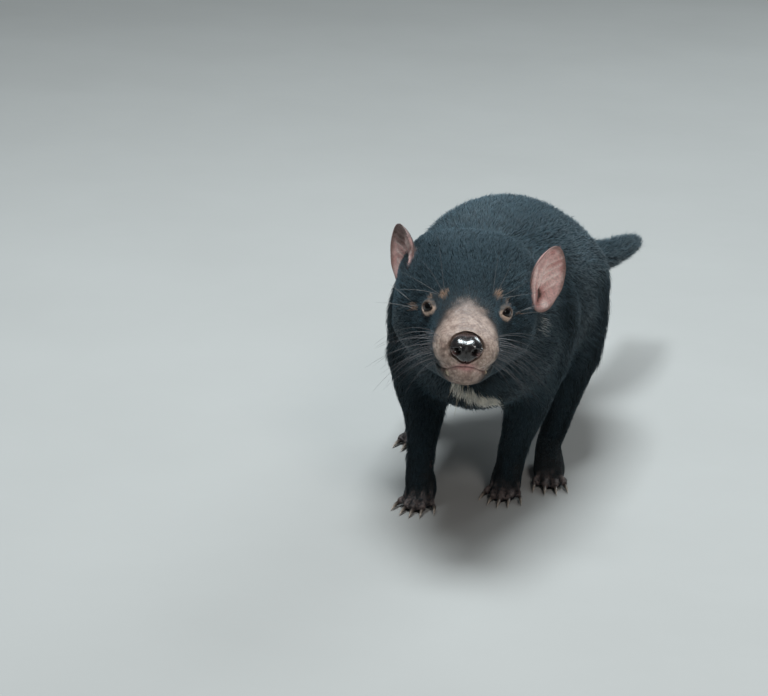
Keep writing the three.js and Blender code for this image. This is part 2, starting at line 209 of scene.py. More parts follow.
def mesh_from(name, points, triangles):
    """A mesh of triangles, all smooth."""
    mesh = bpy.data.meshes.new(name)
    count = len(triangles)
    mesh.vertices.add(len(points))
    mesh.vertices.foreach_set("co", points.astype(np.float32).ravel())
    mesh.loops.add(3 * count)
    mesh.loops.foreach_set("vertex_index", triangles.astype(np.int32).ravel())
    mesh.polygons.add(count)
    mesh.polygons.foreach_set("loop_start", np.arange(0, 3 * count, 3, dtype=np.int32))
    mesh.update(calc_edges=True)
    mesh.shade_smooth()
    return mesh


def applied(made, modifiers):
    """The object's mesh with these modifiers run on it."""
    for kind, settings in modifiers:
        modifier = made.modifiers.new(kind.lower(), kind)
        for key, value in settings.items():
            setattr(modifier, key, value)
    seen = made.evaluated_get(bpy.context.evaluated_depsgraph_get())
    mesh = bpy.data.meshes.new_from_object(seen)
    made.modifiers.clear()
    made.data = mesh
    return made


def diffuse(values, edges, rounds, share=0.5):
    """Values at a mesh's points, evened out along its edges. share may differ from point to point."""
    flat = values.reshape(len(values), -1).copy()
    share = np.broadcast_to(share, len(values))[:, None]
    a, b = edges.T
    count = np.bincount(np.concatenate((a, b)), minlength=len(flat))[:, None]
    for _ in range(rounds):
        total = np.empty_like(flat)
        for k in range(flat.shape[1]):
            column = flat[:, k]
            total[:, k] = np.bincount(a, column[b], len(flat)) + np.bincount(b, column[a], len(flat))
        flat += share * (total / np.maximum(count, 1) - flat)
    return flat.reshape(values.shape)


def paint(mesh, colours):
    """Gives each point of the mesh its colour, which the materials read as the marking."""
    attribute = mesh.color_attributes.new("marking", "FLOAT_COLOR", "POINT")
    opaque = np.column_stack((colours, np.ones(len(colours))))
    attribute.data.foreach_set("color", opaque.astype(np.float32).ravel())


def store(mesh, name, values):
    mesh.attributes.new(name, "FLOAT", "POINT").data.foreach_set("value", values.astype(np.float32))


# The parts of her body: coat depth over the skin, and its tufts' length, width and spacing, in millimetres.
# ease_over is how far the solids' facets are smoothed away. The head's and the legs' tufts are graded in
# coat_plan.
BODY_COLUMNS = ("depth", "length", "width", "spacing", "ease_over")
BODY = {
    "head": (5.5, 13, 0.6, 1.15, 4),
    "lower_jaw": (0.4, 5, 0.5, 1.1, 3),
    "nose": (0.3, 1, 0.3, 9, 2),
    "eye": (0.3, 1, 0.3, 9, 2),
    "ear": (0.5, 4, 0.26, 0.75, 1),
    "neck": (8, 20, 0.72, 1.4, 9),
    "chest": (8.5, 22, 0.78, 1.5, 10),
    "belly": (9, 23, 0.85, 1.6, 10),
    "rump": (8.5, 23, 0.85, 1.6, 10),
    "tail_base": (6, 22, 0.6, 1.3, 5),
    "tail_tip": (5, 28, 0.5, 1.1, 3),
    "foreleg_upper": (7, 16, 0.7, 1.4, 7),
    "foreleg_lower": (3.5, 10, 0.55, 1.15, 3.5),
    "forefoot": (1, 5, 0.34, 0.75, 1.3),
    "hindleg_upper": (7.5, 18, 0.75, 1.5, 8),
    "hindleg_lower": (4, 11, 0.58, 1.2, 3.5),
    "hindfoot": (1, 5.5, 0.36, 0.8, 1.3),
}
FLESH = [name for name in NODES if not name.startswith("claw")]
SOLID_FLESH = [name for name in FLESH if not name.startswith("ear")]


def part_of(node):
    """The row of BODY that this node takes."""
    return node.removesuffix("_left").removesuffix("_right")


def nearest_node_finder():
    """A function that gives, for each point, the number in FLESH of the nearest solid of flesh."""
    corners, faces, owners = [], [], []
    start = 0
    for number, name in enumerate(FLESH):
        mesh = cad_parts[name].data
        triangles = triangles_of(mesh)
        corners.append(points_of(mesh))
        faces.append(triangles + start)
        owners.append(np.full(len(triangles), number))
        start += len(mesh.vertices)
    tree = BVHTree.FromPolygons(np.concatenate(corners).tolist(), np.concatenate(faces).tolist())
    owners = np.concatenate(owners)

    def find(points):
        return owners[[tree.find_nearest(p)[2] for p in points.tolist()]]

    return find


find_node = nearest_node_finder()


def by_part(column, owners):
    at = BODY_COLUMNS.index(column)
    return np.array([BODY[part_of(name)][at] for name in FLESH], float)[owners]


def among(owners, *prefixes):
    """Which owners, as numbers in FLESH, are nodes whose names start with one of these."""
    return np.isin(owners, [i for i, name in enumerate(FLESH) if name.startswith(prefixes)])


# The skin: the solids of flesh melted into one surface


def melted_flesh():
    form = bmesh.new()
    for name in SOLID_FLESH:
        form.from_mesh(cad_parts[name].data)
    bmesh.ops.remove_doubles(form, verts=form.verts, dist=WELD * MM)
    form.normal_update()
    for vertex in form.verts:
        vertex.co += vertex.normal * GROW * MM
    mesh = bpy.data.meshes.new("skin")
    form.to_mesh(mesh)
    form.free()
    skin = new_object("skin", mesh)
    return applied(skin, [("REMESH", dict(mode="VOXEL", voxel_size=VOXEL * MM))])


def keep_largest_shell(mesh):
    form = bmesh.new()
    form.from_mesh(mesh)
    form.verts.ensure_lookup_table()
    shell_of = np.full(len(form.verts), -1)
    shells = 0
    for first in form.verts:
        if shell_of[first.index] >= 0:
            continue
        shell_of[first.index] = shells
        reached = [first]
        while reached:
            vertex = reached.pop()
            for edge in vertex.link_edges:
                other = edge.other_vert(vertex)
                if shell_of[other.index] < 0:
                    shell_of[other.index] = shells
                    reached.append(other)
        shells += 1
    if shells > 1:
        largest = np.argmax(np.bincount(shell_of))
        loose = [v for v in form.verts if shell_of[v.index] != largest]
        bmesh.ops.delete(form, geom=loose, context="VERTS")
        form.to_mesh(mesh)
    form.free()


def head_depth(place):
    """The coat's depth on the head: next to nothing on the muzzle, deep on the crown and cheeks."""
    return 0.3 + 5.2 * ease(-28, 36, place[:, 1])


def room_inside(mesh, points, normals, chosen):
    """How thick the body is below each chosen point, in metres."""
    tree = BVHTree.FromPolygons(points.tolist(), [list(p.vertices) for p in mesh.polygons])
    room = np.full(len(points), 1.0)
    for i in np.nonzero(chosen)[0]:
        way = Vector(-normals[i])
        hit = tree.ray_cast(Vector(points[i]) + way * 0.05 * MM, way, 0.2)
        if hit[3] is not None:
            room[i] = hit[3]
    return room


def smoothed(points, edges, owners):
    """The surface with the solids' facets evened out, in each part over its own distance."""
    step = 0.25 * (VOXEL * MM) ** 2  # how far one full round spreads a point, squared
    share = (by_part("ease_over", owners) * MM) ** 2 / (SMOOTH_ROUNDS * 2 * step)
    share = np.clip(diffuse(share, edges, 12), 0, SMOOTH_MOST)
    return diffuse(points, edges, SMOOTH_ROUNDS, share)


def skin_depth(mesh, points, normals, edges, owners):
    """How far below the solids the skin lies at each point, in millimetres. Thin limbs keep their middle."""
    on_head = among(owners, "head", "lower_jaw")
    depth = np.where(on_head, head_depth(into(HEAD, points)), by_part("depth", owners))
    depth = diffuse(depth, edges, 40)
    room = room_inside(mesh, points, normals, among(owners, *THIN_PARTS)) / MM
    room = np.minimum(diffuse(room, edges, 8), room)
    return diffuse(np.minimum(depth, THIN_SHARE * room), edges, 6)


def set_on_floor(points, owners):
    """Brings the soles down to the floor."""
    foot = among(owners, "forefoot", "hindfoot")
    lowest = points[foot, 2].min()
    band = FLOOR_BAND * MM
    low = foot & (points[:, 2] < band)
    points[low, 2] = (points[low, 2] - lowest) * band / (band - lowest)


def draw_in(mesh):
    """Smooths the facets away and draws the surface in by the coat's depth."""
    edges = edges_of(mesh)
    owners = find_node(points_of(mesh))
    points = smoothed(points_of(mesh), edges, owners)
    put_points(mesh, points)
    normals = unit(diffuse(normals_of(mesh), edges, 3))
    depth = skin_depth(mesh, points, normals, edges, owners) + GROW
    points -= normals * (depth * MM)[:, None]
    set_on_floor(points, owners)
    put_points(mesh, points)


def refine(mesh, chosen_of, rounds):
    """Cuts the mesh finer around the chosen points, that many times."""
    form = bmesh.new()
    form.from_mesh(mesh)
    for number in range(rounds):
        form.verts.ensure_lookup_table()
        points = np.array([v.co for v in form.verts])
        chosen = chosen_of(points, number)
        edges = [e for e in form.edges if chosen[e.verts[0].index] and chosen[e.verts[1].index]]
        bmesh.ops.subdivide_edges(form, edges=edges, cuts=1, use_grid_fill=True, smooth=0.0)
        form.verts.index_update()
    form.to_mesh(mesh)
    form.free()


def face_detail(points, number):
    """Points around the eyes, mouth and nose, a smaller patch each time."""
    place = into(HEAD, points)
    near = np.zeros(len(points), bool)
    for side in (-1, 1):
        gap = np.linalg.norm(place - np.array([side * EYE_X, EYE_Y, 0]), axis=1)
        near |= gap < (17, 12.5)[number]
    if number == 0:
        near |= (place[:, 1] < -12) & (place[:, 2] < 14) & (place[:, 2] > -62) & (np.abs(place[:, 0]) < 40)
    return near


def eye_frame(side):
    """An eye's own frame in the head's: across outwards, up, and out along its gaze."""
    way = unit(np.array(EYE_WAY) * (side, 1, 1))
    across = unit(np.cross((0, 0, 1), way)) * side
    up = unit(np.cross(way, across)) * side
    return np.array([side * EYE_X, EYE_Y, 0.0]), across, up, way


def seen_by_eye(place, side):
    """Points of the head in that eye's own frame."""
    centre, across, up, way = eye_frame(side)
    gap = place - centre
    return gap @ across, gap @ up, gap @ way


def lid_edge(across, up):
    """How far the open eye reaches from its middle, in that direction."""
    angle = np.arctan2(up, across)
    wide, high = 4.8, np.where(up > 0, 3.6, 4.0)
    reach = 1 / np.sqrt((np.cos(angle) / wide) ** 2 + (np.sin(angle) / high) ** 2)
    inner_corner = np.abs(np.arctan2(np.sin(angle - math.pi - 0.25), np.cos(angle - math.pi - 0.25)))
    return reach + 0.8 * bell(inner_corner, 0.42)


def sculpt_eye(place, side):
    """Lays the lids over one eye, with their folds and the brow, and sinks the skin behind the eyeball."""
    centre, across, up, way = eye_frame(side)
    a, b, h = seen_by_eye(place, side)
    out = np.hypot(a, b)
    near = (out < 16) & (h > -6)
    edge = lid_edge(a, b)
    beyond = out - edge
    # Points close to the lid's edge move onto it.
    onto = near & (np.abs(beyond) < 0.2)
    pull = np.where(onto, edge / np.maximum(out, 1e-6), 1)
    a, b = a * pull, b * pull
    out = np.hypot(a, b)
    beyond = out - edge
    lid = np.sqrt(np.maximum((EYE_RADIUS + 0.95) ** 2 - out**2, 0))
    lid -= 0.55 * bell(np.maximum(beyond, 0), 0.5)
    softness = 1.1
    high = np.maximum(h, lid)
    blended = high + softness * np.exp(-np.abs(h - lid) / softness) * 0.4
    around = h + 0.4 * softness * np.exp(-np.abs(out - 7.9) / 1.5)
    raised = np.where(out < EYE_RADIUS + 1.0, blended, around)
    # Folds of the lids, and the brow's overhang.
    raised -= 0.55 * bell(beyond - 3.4, 0.6) * ease(-1, 2, b)
    raised -= 0.35 * bell(beyond - 2.6, 0.5) * ease(1, -2, b)
    raised += 1.5 * bell(np.hypot(a + 2, (b - 10.5) * 1.3), 5)
    sunk = np.sqrt(np.maximum(EYE_RADIUS**2 - out**2, 0)) - 1.6
    h_new = np.where(beyond < -0.05, sunk, raised)
    fade = ease(16, 12, out)
    h_new = mix(h, h_new, fade)
    moved = centre + a[:, None] * across + b[:, None] * up + h_new[:, None] * way
    return np.where(near[:, None], moved, place)


def mouth_height(place):
    """The lips' line: level under the nose, then lower to the corner of the mouth."""
    return -38.6 - 4.6 * ease(5, 17, np.abs(place[:, 0])) + 3.5 * ease(-36, -8, place[:, 1])


def bare_skin(place):
    """From 0 on the coat to 1 on the muzzle's bare skin, in the head's frame."""
    x, y, z = place.T
    side = np.abs(x)
    edge = -17 - 0.42 * side - 0.7 * np.maximum(0, -27 - z) + 0.6 * np.maximum(0, -41 - z)
    edge = edge + 1.8 * wobble(place, 7, 1) + 1.6 * wobble(place, 2.5, 2)
    narrow = 27 - 0.62 * np.maximum(0, -26 - z) - 0.55 * np.maximum(0, z + 17) + 1.2 * wobble(place, 5, 16)
    return ease(8, -6, y - edge) * ease(5, -4, side - narrow) * ease(-60, -53, z - 0.12 * side)


def sculpt_muzzle(place, normals):
    x, y, z = place.T
    side = np.abs(x)
    rise = np.zeros(len(place))
    front = ease(-4, -14, y)
    lips = z - mouth_height(place)
    facing = ease(0.95, 0.6, np.abs(normals[:, 2]))
    rise -= 1.2 * bell(lips, 0.7) * front * facing * ease(30, 20, side)
    rise += 0.55 * bell(lips - 2.3, 1.7) * front * facing
    rise += 0.5 * bell(lips + 2.4, 1.6) * front * facing
    # Whisker beds, the hollows beside the bridge, and the chin.
    rise += 1.3 * bell(np.hypot((y + 42) / 1.5, z + 28), 8.5) * ease(8, 18, side)
    rise -= 1.0 * bell(np.hypot(side - 15, (z + 8) * 0.9), 6) * ease(-10, -24, y)
    rise += 0.9 * bell(np.hypot((y + 46) / 1.2, z + 52), 7)
    # The crease round the nose pad, and the groove from it to the lip.
    from_nose = np.hypot(x / 1.02, (z - NOSE[2]) / 0.98)
    rise -= 0.8 * bell(from_nose - 14.6, 1.1) * ease(-46, -51, y)
    rise -= 0.8 * bell(x, 0.8) * ease(-46, -50, y) * ease(-33, -36, z) * ease(-43, -40, z)
    # Fine wrinkles across the bridge, and pebbled skin.
    wrinkles = np.sin(y * 2 * math.pi / 3.6 + 1.2 * wobble(place, 6, 3))
    rise += 0.14 * wrinkles * ease(14, 6, side) * ease(-52, -44, y) * ease(-14, -24, y) * ease(-14, -6, z)
    bare = bare_skin(place)
    rise += 0.04 * bare * wobble(place, 1.3, 4)
    rise += 0.16 * bare * wobble(place, 4.0, 5)
    shaped = place + normals * rise[:, None]
    # A bed for the nose pad, behind its rim.
    low = np.clip((NOSE[2] - z) / 12.6, 0, 1)
    around_pad = np.hypot(x / (13.6 * (1 - 0.4 * low**1.4)), (z - NOSE[2]) / 11.4)
    foremost = -51.5 + 3 * ease(-18, -10, z) - 9.5 * ease(0.92, 1.6, around_pad)
    shaped[:, 1] = np.where(around_pad < 1.6, np.maximum(shaped[:, 1], foremost), shaped[:, 1])
    return shaped


def sculpt_face(mesh):
    points = points_of(mesh)
    place = into(HEAD, points)
    normals = into(HEAD, points + normals_of(mesh) * MM) - place
    near = (place[:, 1] < 24) & (place[:, 2] > -75) & (np.abs(place[:, 0]) < 62)
    shaped = sculpt_muzzle(place[near], unit(normals[near]))
    for side in (-1, 1):
        shaped = sculpt_eye(shaped, side)
    points[near] = out_of(HEAD, shaped)
    put_points(mesh, points)


# Toes

TOE_RADIUS = 4.1
TOE_LENGTH = 15.0


def claws_of(foot):
    """A foot's claws by name."""
    leg, side = foot.replace("foot", "").split("_")
    return [name for name in NODES if name.startswith(f"claw_{leg}_{side}")]


def claw_ends(name, foot):
    """The root and the tip of a claw's solid."""
    points = points_of(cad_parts[name].data)
    gap = np.linalg.norm(points - np.array(middle(foot)), axis=1)
    tip = points[np.argmax(gap)]
    far = np.linalg.norm(points - tip, axis=1)
    return points[far > far.max() - 1.5 * MM].mean(0), tip


FEET = [name for name in FLESH if "foot" in name]
CLAWS = {name: claw_ends(name, foot) for foot in FEET for name in claws_of(foot)}


def toe_detail(points, number):
    """Points around the roots of the claws."""
    near = np.zeros(len(points), bool)
    for root, _ in CLAWS.values():
        near |= np.linalg.norm(points - root, axis=1) < 13 * MM
    return near


def sculpt_toes(mesh):
    """Parts the front of each foot into rounded toes."""
    points, normals = points_of(mesh), normals_of(mesh)
    owners = find_node(points)
    for foot in FEET:
        chosen = owners == FLESH.index(foot)
        place = points[chosen] / MM
        level = np.full(len(place), -99.0)
        share = np.zeros(len(place))
        for name in claws_of(foot):
            root, tip = (end / MM for end in CLAWS[name])
            way = unit((tip - root) * (1, 1, 0))
            gap = (place - root) * (1, 1, 0)
            back = -(gap @ way)
            aside = np.linalg.norm(gap + back[:, None] * way, axis=1)
            axis = root[2] + 0.6 + 0.22 * np.clip(back, 0, TOE_LENGTH)
            knuckle = 0.7 * bell(back - 8, 3)
            round_top = np.sqrt(np.maximum(TOE_RADIUS**2 - aside**2, 0)) * ease(-5, 0.5, back)
            toe = axis + round_top + knuckle * ease(TOE_RADIUS, 0, aside) - 1.6
            level = np.maximum(level, toe)
            share = np.maximum(share, ease(TOE_LENGTH, 7, back) * ease(-7, -4, back) * ease(8, 6, aside))
        share *= ease(0.05, 0.4, normals[chosen, 2]) * ease(1.5, 3, place[:, 2])
        place[:, 2] = mix(place[:, 2], np.clip(level, 2.0, place[:, 2] + 1.2), share)
        points[chosen] = place * MM
    put_points(mesh, points)


# Ears

EAR_LENGTH = 58.0
EAR_WIDTH = 39.0
EAR_THICKNESS = 2.8
EAR_CUP = 9.0
EAR_RINGS = 30
EAR_SIDES = 96
EARS = {
    "left": dict(side=1, at=(64.5, 49, 24), turn=43, lean=7),
    "right": dict(side=-1, at=(-53, 60, 32), turn=-62, lean=-6),
}


def ear_frame(ear):
    at = Matrix.Translation(ear["at"]) @ rotation("Y", ear["lean"]) @ rotation("Z", ear["turn"])
    return HEAD @ np.array(at)


def ear_reach(x, z):
    """From 0 in the middle of an ear to 1 at its rim."""
    return np.hypot(x / (EAR_WIDTH / 2), z / (EAR_LENGTH / 2))


def ear_cup(reach):
    """How far back the middle of an ear's thickness lies."""
    return EAR_CUP * (0.6 - reach**2)


def ear_folds(u, z):
    """How far the ridges in an ear's hollow stand up. u is across it towards the outside, z along it."""
    ridge = 2.4 * bell(u + 1.5 - 0.16 * z, 2.0) * ease(-19, -10, z) * ease(22, 10, z)
    folds = sum(
        height * bell(z - level - 0.75 * u, 1.5) * ease(0, 4, u) * ease(17, 12, u)
        for level, height in ((-14, 1.6), (-6, 1.9), (2, 1.8), (9.5, 1.3))
    )
    bowl = -3.4 * bell(np.hypot(u + 1, z + 15), 6.0)
    lobe = 3.4 * bell(np.hypot(u - 4, (z + 22) / 0.9), 3.4)
    front_fold = 2.4 * bell(u + 10.5 + 0.1 * z, 1.9) * ease(-24, -14, z) * ease(16, 4, z)
    return ridge + folds + bowl + lobe + front_fold


def ear_surface(reach, angle, face, side):
    """A point of an ear, from its reach, 0 in the middle and 1 at the rim, its angle and its face.

    Face -1 is the hollow one, and 1 the back.
    """
    lean = side * 2.0 * reach**2 * np.maximum(0, np.sin(angle)) ** 2
    level = np.sin(angle) * reach
    fullness = 1 - 0.1 * level - 0.12 * bell(level + 0.62, 0.22) + 0.05 * bell(level - 0.35, 0.3)
    x = EAR_WIDTH / 2 * fullness * reach * np.cos(angle) + lean
    z = EAR_LENGTH / 2 * reach * np.sin(angle)
    u = side * x
    thick = EAR_THICKNESS * np.sqrt(np.maximum(0, 1 - reach**5 * 0.93))
    y = ear_cup(reach) + face * thick / 2
    y -= 1.1 * ease(0.8, 1, reach) * ease(-0.9, -0.2, np.sin(angle))
    inner = (face < 0) * ease(1, 0.86, reach)
    y -= inner * (ear_folds(u, z) + 0.35 * wobble(np.stack((x, y * 0, z), 1), 3.5, 6))
    return np.stack((x, y, z), 1)


def ear_mesh(name):
    ear = EARS[name]
    rings, sides = EAR_RINGS, EAR_SIDES
    reaches = np.linspace(0, 1, rings + 1)[1:] ** 0.9
    reach = np.repeat(reaches, sides)
    angle = np.tile(np.linspace(0, 2 * math.pi, sides, endpoint=False), rings)
    sheets, triangles = [], []
    start = 0
    around = np.arange(sides)
    after = (around + 1) % sides
    for face in (-1, 1):
        centre = ear_surface(np.zeros(1), np.zeros(1), np.full(1, face), ear["side"])
        ring_points = ear_surface(reach, angle, np.full(len(reach), face), ear["side"])
        sheets.append(np.concatenate((centre, ring_points)))
        fan = np.stack((np.zeros(sides, int), 1 + around, 1 + after), 1)
        faces = [fan]
        for ring in range(rings - 1):
            low, high = 1 + ring * sides, 1 + (ring + 1) * sides
            faces.append(np.stack((low + around, high + around, high + after), 1))
            faces.append(np.stack((low + around, high + after, low + after), 1))
        faces = np.concatenate(faces) + start
        triangles.append(faces if face < 0 else faces[:, ::-1])
        start += len(sheets[0])
    rim_in = 1 + (rings - 1) * sides
    rim_out = rim_in + len(sheets[0])
    triangles.append(np.stack((rim_in + around, rim_out + around, rim_out + after), 1))
    triangles.append(np.stack((rim_in + around, rim_out + after, rim_in + after), 1))
    points = out_of(ear_frame(ear), np.concatenate(sheets))
    return mesh_from("ear_" + name, points, np.concatenate(triangles))


def owners_of(points):
    """The number in FLESH of each point's solid, where all of an ear's own form belongs to the ear."""
    owners = find_node(points)
    for name, ear in EARS.items():
        x, y, z = into(ear_frame(ear), points).T
        out = ear_reach(x, z)
        off = y - ear_cup(out)
        owners[(out < 1.02) & (off > -5.5) & (off < 2.2)] = FLESH.index("ear_" + name)
    return owners


def join_ears(skin):
    for name in EARS:
        ear = new_object("ear_form_" + name, ear_mesh(name))
        applied(skin, [("BOOLEAN", dict(operation="UNION", solver="MANIFOLD", object=ear))])
        bpy.data.objects.remove(ear)
    mesh = skin.data
    edges = edges_of(mesh)
    points = points_of(mesh)
    owners = owners_of(points)
    border = diffuse(among(owners, "ear").astype(float), edges, 5)
    share = 0.5 * ease(0.02, 0.3, border) * ease(0.98, 0.7, border)
    put_points(mesh, diffuse(points, edges, 6, share))


def thin_out_body(skin):
    """Fewer facets where the coat covers the skin; the face, ears and feet keep theirs."""
    points = points_of(skin.data)
    place = into(HEAD, points)
    owners = owners_of(points)
    kept = among(owners, "forefoot", "hindfoot", "ear")
    kept |= (place[:, 1] < 14) & (place[:, 2] > -70) & (np.abs(place[:, 0]) < 60)
    group = skin.vertex_groups.new(name="covered")
    group.add(np.nonzero(~kept)[0].tolist(), 1.0, "REPLACE")
    facets = sum(len(p.vertices) - 2 for p in skin.data.polygons)
    held = kept[triangles_of(skin.data)].all(1).sum()
    ratio = (held + (facets - held) * BODY_SHARE) / facets
    applied(skin, [("DECIMATE", dict(ratio=ratio, vertex_group="covered", use_collapse_triangulate=True))])
    skin.vertex_groups.clear()


# Markings, the same on the skin and on the coat that grows from it

# The coat's black is faintly blue, and bluer still on the head and legs: painted reflection of the sky.
BLACK = linear(17, 20, 22)
SKY_REFLECTION_BLUE = np.array((0.92, 1.02, 1.12))
SUN_BROWNED = np.array((1.9, 1.4, 1.15))
UNDERCOAT = linear(26, 26, 27)
MUZZLE = linear(204, 180, 166)
MUZZLE_DARK = linear(122, 100, 90)
MUZZLE_FLECK = linear(214, 194, 178)
LID = linear(206, 176, 156)
TAN = linear(140, 108, 84)
LIP = linear(190, 140, 136)
MOUTH_CORNER = linear(206, 188, 160)
CREAM = linear(230, 222, 208)
EAR_PINK = linear(250, 222, 216)
EAR_DEEP = linear(206, 150, 144)
EAR_RIM = linear(126, 98, 90)
TOE_SKIN = linear(128, 112, 108)
PAD_SKIN = linear(120, 92, 88)
SILVER = linear(176, 172, 166)
BROWS = ((-20.3, -7.0, 12.7), (24.2, -3.0, 14.3))
OVER_EYES = ((-32.0, -0.5, 7.8), (34.7, 1.3, 8.0))
CHEEK_SPOTS = ((44.0, 8.5, -1.5), (-43.0, 11.0, -3.0))
MOUTH_CORNERS = ((-13.6, -44.0, -45.5), (18.6, -39.8, -43.2))
SILVER_FRINGE = np.array((74.0, 76.0, -22.0))  # below her left ear
BAND_HALF = 22.0  # half the length of the pale band across her chest
CHEST_BAND = np.array((-2.0, 58.0, -96.0))  # its middle, from the point between the eyes
WRIST_PAD = np.array((-40.5, 88.0, -170.0))


def from_lids(place):
    """How far outside the nearer eye's opening a point is, seen along its gaze, and how high above it."""
    nearest = np.full(len(place), 99.0)
    height = np.zeros(len(place))
    for side in (-1, 1):
        a, b, h = seen_by_eye(place, side)
        beyond = np.hypot(a, b) - lid_edge(a, b)
        nearer = (h > -7) & (beyond < nearest)
        nearest = np.where(nearer, beyond, nearest)
        height = np.where(nearer, b, height)
    return nearest, height


def chest_band(points):
    """From 0 to 1 on the pale band."""
    x, y, z = from_eyes(points).T
    along = (x + 2) / BAND_HALF
    level = -100.5 - 0.38 * (x + 2) + 2 * along**2
    half = 5.6 + 1.2 * along + 1.0 * wobble(points / MM, 6, 8)
    inside = ease(half + 1.5, half - 1.5, np.abs(z - level)) * ease(1.08, 0.8, np.abs(along))
    return inside * ease(20, 35, y) * ease(105, 90, y)


def ear_place(points, owners):
    """For points on the ears: how near the rim, from 0 on the back to 1 in the hollow, and the folds."""
    reach, hollow, folds = np.zeros((3, len(points)))
    for name, ear in EARS.items():
        chosen = among(owners, "ear_" + name)
        x, y, z = into(ear_frame(ear), points[chosen]).T
        out = ear_reach(x, z)
        reach[chosen] = out
        hollow[chosen] = ease(0.5, -0.5, y - ear_cup(out))
        folds[chosen] = ear_folds(ear["side"] * x, z)
    return reach, hollow, folds


def spots(place, middles, radius):
    share = np.zeros(len(place))
    for at in middles:
        gap = np.linalg.norm(place - np.array(at), axis=1) + 1.3 * wobble(place, 2.2, 9)
        share = np.maximum(share, ease(radius + 1.2, radius - 1.2, gap))
    return share


def blended(colours, colour, share):
    return mix(colours, colour, np.broadcast_to(share, len(colours))[:, None])


def muzzle_marks(colours, place, on_head, mottle, coarse):
    """Mottled bare skin from the bridge to the chin, the lips and the corners of the mouth."""
    x, y, z = place.T
    muzzle = np.where(on_head, bare_skin(place), 0)
    blotch = ease(-0.3, 0.7, wobble(place, 4.5, 17))
    groove = bell(x, 8) * ease(-30, -44, y)
    pale = 0.2 + 0.45 * mottle + 0.5 * coarse - 0.35 * blotch - 0.35 * groove
    tone = mix(MUZZLE_DARK, MUZZLE, np.clip(pale, 0, 1)[:, None])
    tone = blended(tone, MUZZLE_FLECK, 0.5 * ease(0.35, 0.9, wobble(place, 1.5, 18)))
    tone = blended(tone, MUZZLE_DARK, 0.6 * ease(-28, -12, z))
    tone = blended(tone, MUZZLE_DARK * 0.6, 0.7 * ease(-40, -18, y) * ease(-29, -13, z))
    tone = blended(tone, MUZZLE_DARK * 0.9, 0.35 * ease(-40, -47, z))
    colours = mix(colours, tone, muzzle[:, None])
    from_lips = z - mouth_height(place)
    lips = bell(from_lips, 2.6) * ease(-14, -30, y)
    under_nose = bell(np.hypot(x - 1, (z + 38) / 0.8), 6) * ease(-40, -47, y)
    pinkness = muzzle * np.clip((0.2 + 0.4 * bell(x, 9)) * lips + 0.8 * under_nose, 0, 0.9)
    colours = blended(colours, LIP, pinkness)
    # A dark line where the lips meet: painted shade in the crease of the mouth.
    lip_line_shade = bell(from_lips, 0.6) * ease(-12, -20, y)
    colours = blended(colours, LIP * 0.15, muzzle * lip_line_shade * 0.7)
    return blended(colours, MOUTH_CORNER, on_head * 0.9 * spots(place, MOUTH_CORNERS, 1.7)), muzzle


def lid_marks(colours, place, on_head, coarse):
    """Pale lids, darker above the eye, and the tan spots over it."""
    beyond, high = from_lids(place)
    beyond = beyond + 0.5 * wobble(place, 2.5, 13)
    rim = ease(4.6, 2.4, beyond) * (1 - 0.85 * ease(-0.5, 3.0, high)) * on_head
    colours = blended(colours, mix(LID, MUZZLE, 0.35 * coarse[:, None]), rim)
    colours = blended(colours, LID * 0.16, on_head * ease(0.9, 0.3, beyond))
    brows = np.maximum(spots(place, BROWS, 3.6), 0.6 * spots(place, OVER_EYES, 3.0))
    return blended(colours, TAN, brows * 0.55 * on_head), rim


def ear_marks(colours, points, place, owners, mottle):
    """Pink in the hollow, paler on the folds' ridges and darker in the bowl as painted light and shade, a
    brown rim, a dusky tip on her right ear, and a dark back.
    """
    reach, hollow, folds = ear_place(points, owners)
    ear = reach > 0
    # Paler where the folds stand up and darker in the bowl: painted light and shade on the ear's relief, over
    # its own mottled pink.
    pink_and_fold_light = 0.3 + 0.2 * wobble(place, 9, 14) + 0.15 * mottle + 0.4 * np.clip(folds, -1, 1.6)
    pink = mix(EAR_DEEP, EAR_PINK, np.clip(pink_and_fold_light, 0, 1)[:, None])
    pink = blended(pink, EAR_RIM, ease(0.84, 1.0, reach) * 0.85)
    dusk = ear * (place[:, 0] < 0) * ease(38, 52, place[:, 2] + 3 * wobble(place, 6, 19))
    pink = blended(pink, EAR_RIM * 0.35, dusk * 0.85)
    back = mix(EAR_RIM * 0.35, EAR_RIM * 0.6, mottle[:, None])
    return np.where(ear[:, None], mix(back, pink, hollow[:, None]), colours), ear * hollow


def foot_marks(colours, points, normals, place, owners, mottle):
    """Grey-pink toes, and pink pads below the feet and behind her right wrist."""
    feet = among(owners, "forefoot", "hindfoot")
    toes = feet * ease(16, 6, points[:, 2] / MM + 3 * wobble(place, 6, 15))
    colours = blended(colours, mix(TOE_SKIN * 0.5, TOE_SKIN, mottle[:, None]), toes * 0.8)
    colours = blended(colours, PAD_SKIN, feet * ease(-0.3, -0.8, normals[:, 2]))
    from_wrist = np.linalg.norm(from_eyes(points) - WRIST_PAD, axis=1)
    wrist = ease(5.5, 3, from_wrist)
    return blended(colours, PAD_SKIN * 1.15, wrist), np.maximum(toes * 0.7, wrist)


def skin_marks(points, normals, owners):
    """The skin's own colour at each point, and how bare it is, from 0 under the coat to 1."""
    place = into(HEAD, points)
    on_head = among(owners, "head", "lower_jaw", "nose", "eye")
    mottle = 0.5 + 0.5 * wobble(place, 2.6, 11)
    coarse = 0.5 + 0.5 * wobble(place, 9, 12)
    colours = np.tile(UNDERCOAT, (len(points), 1))
    colours = blended(colours, CREAM * 0.6, chest_band(points))
    colours, muzzle = muzzle_marks(colours, place, on_head, mottle, coarse)
    colours, lids = lid_marks(colours, place, on_head, coarse)
    colours, ears = ear_marks(colours, points, place, owners, mottle)
    colours, feet = foot_marks(colours, points, normals, place, owners, mottle)
    return colours, np.maximum.reduce([muzzle, lids, ears, feet])


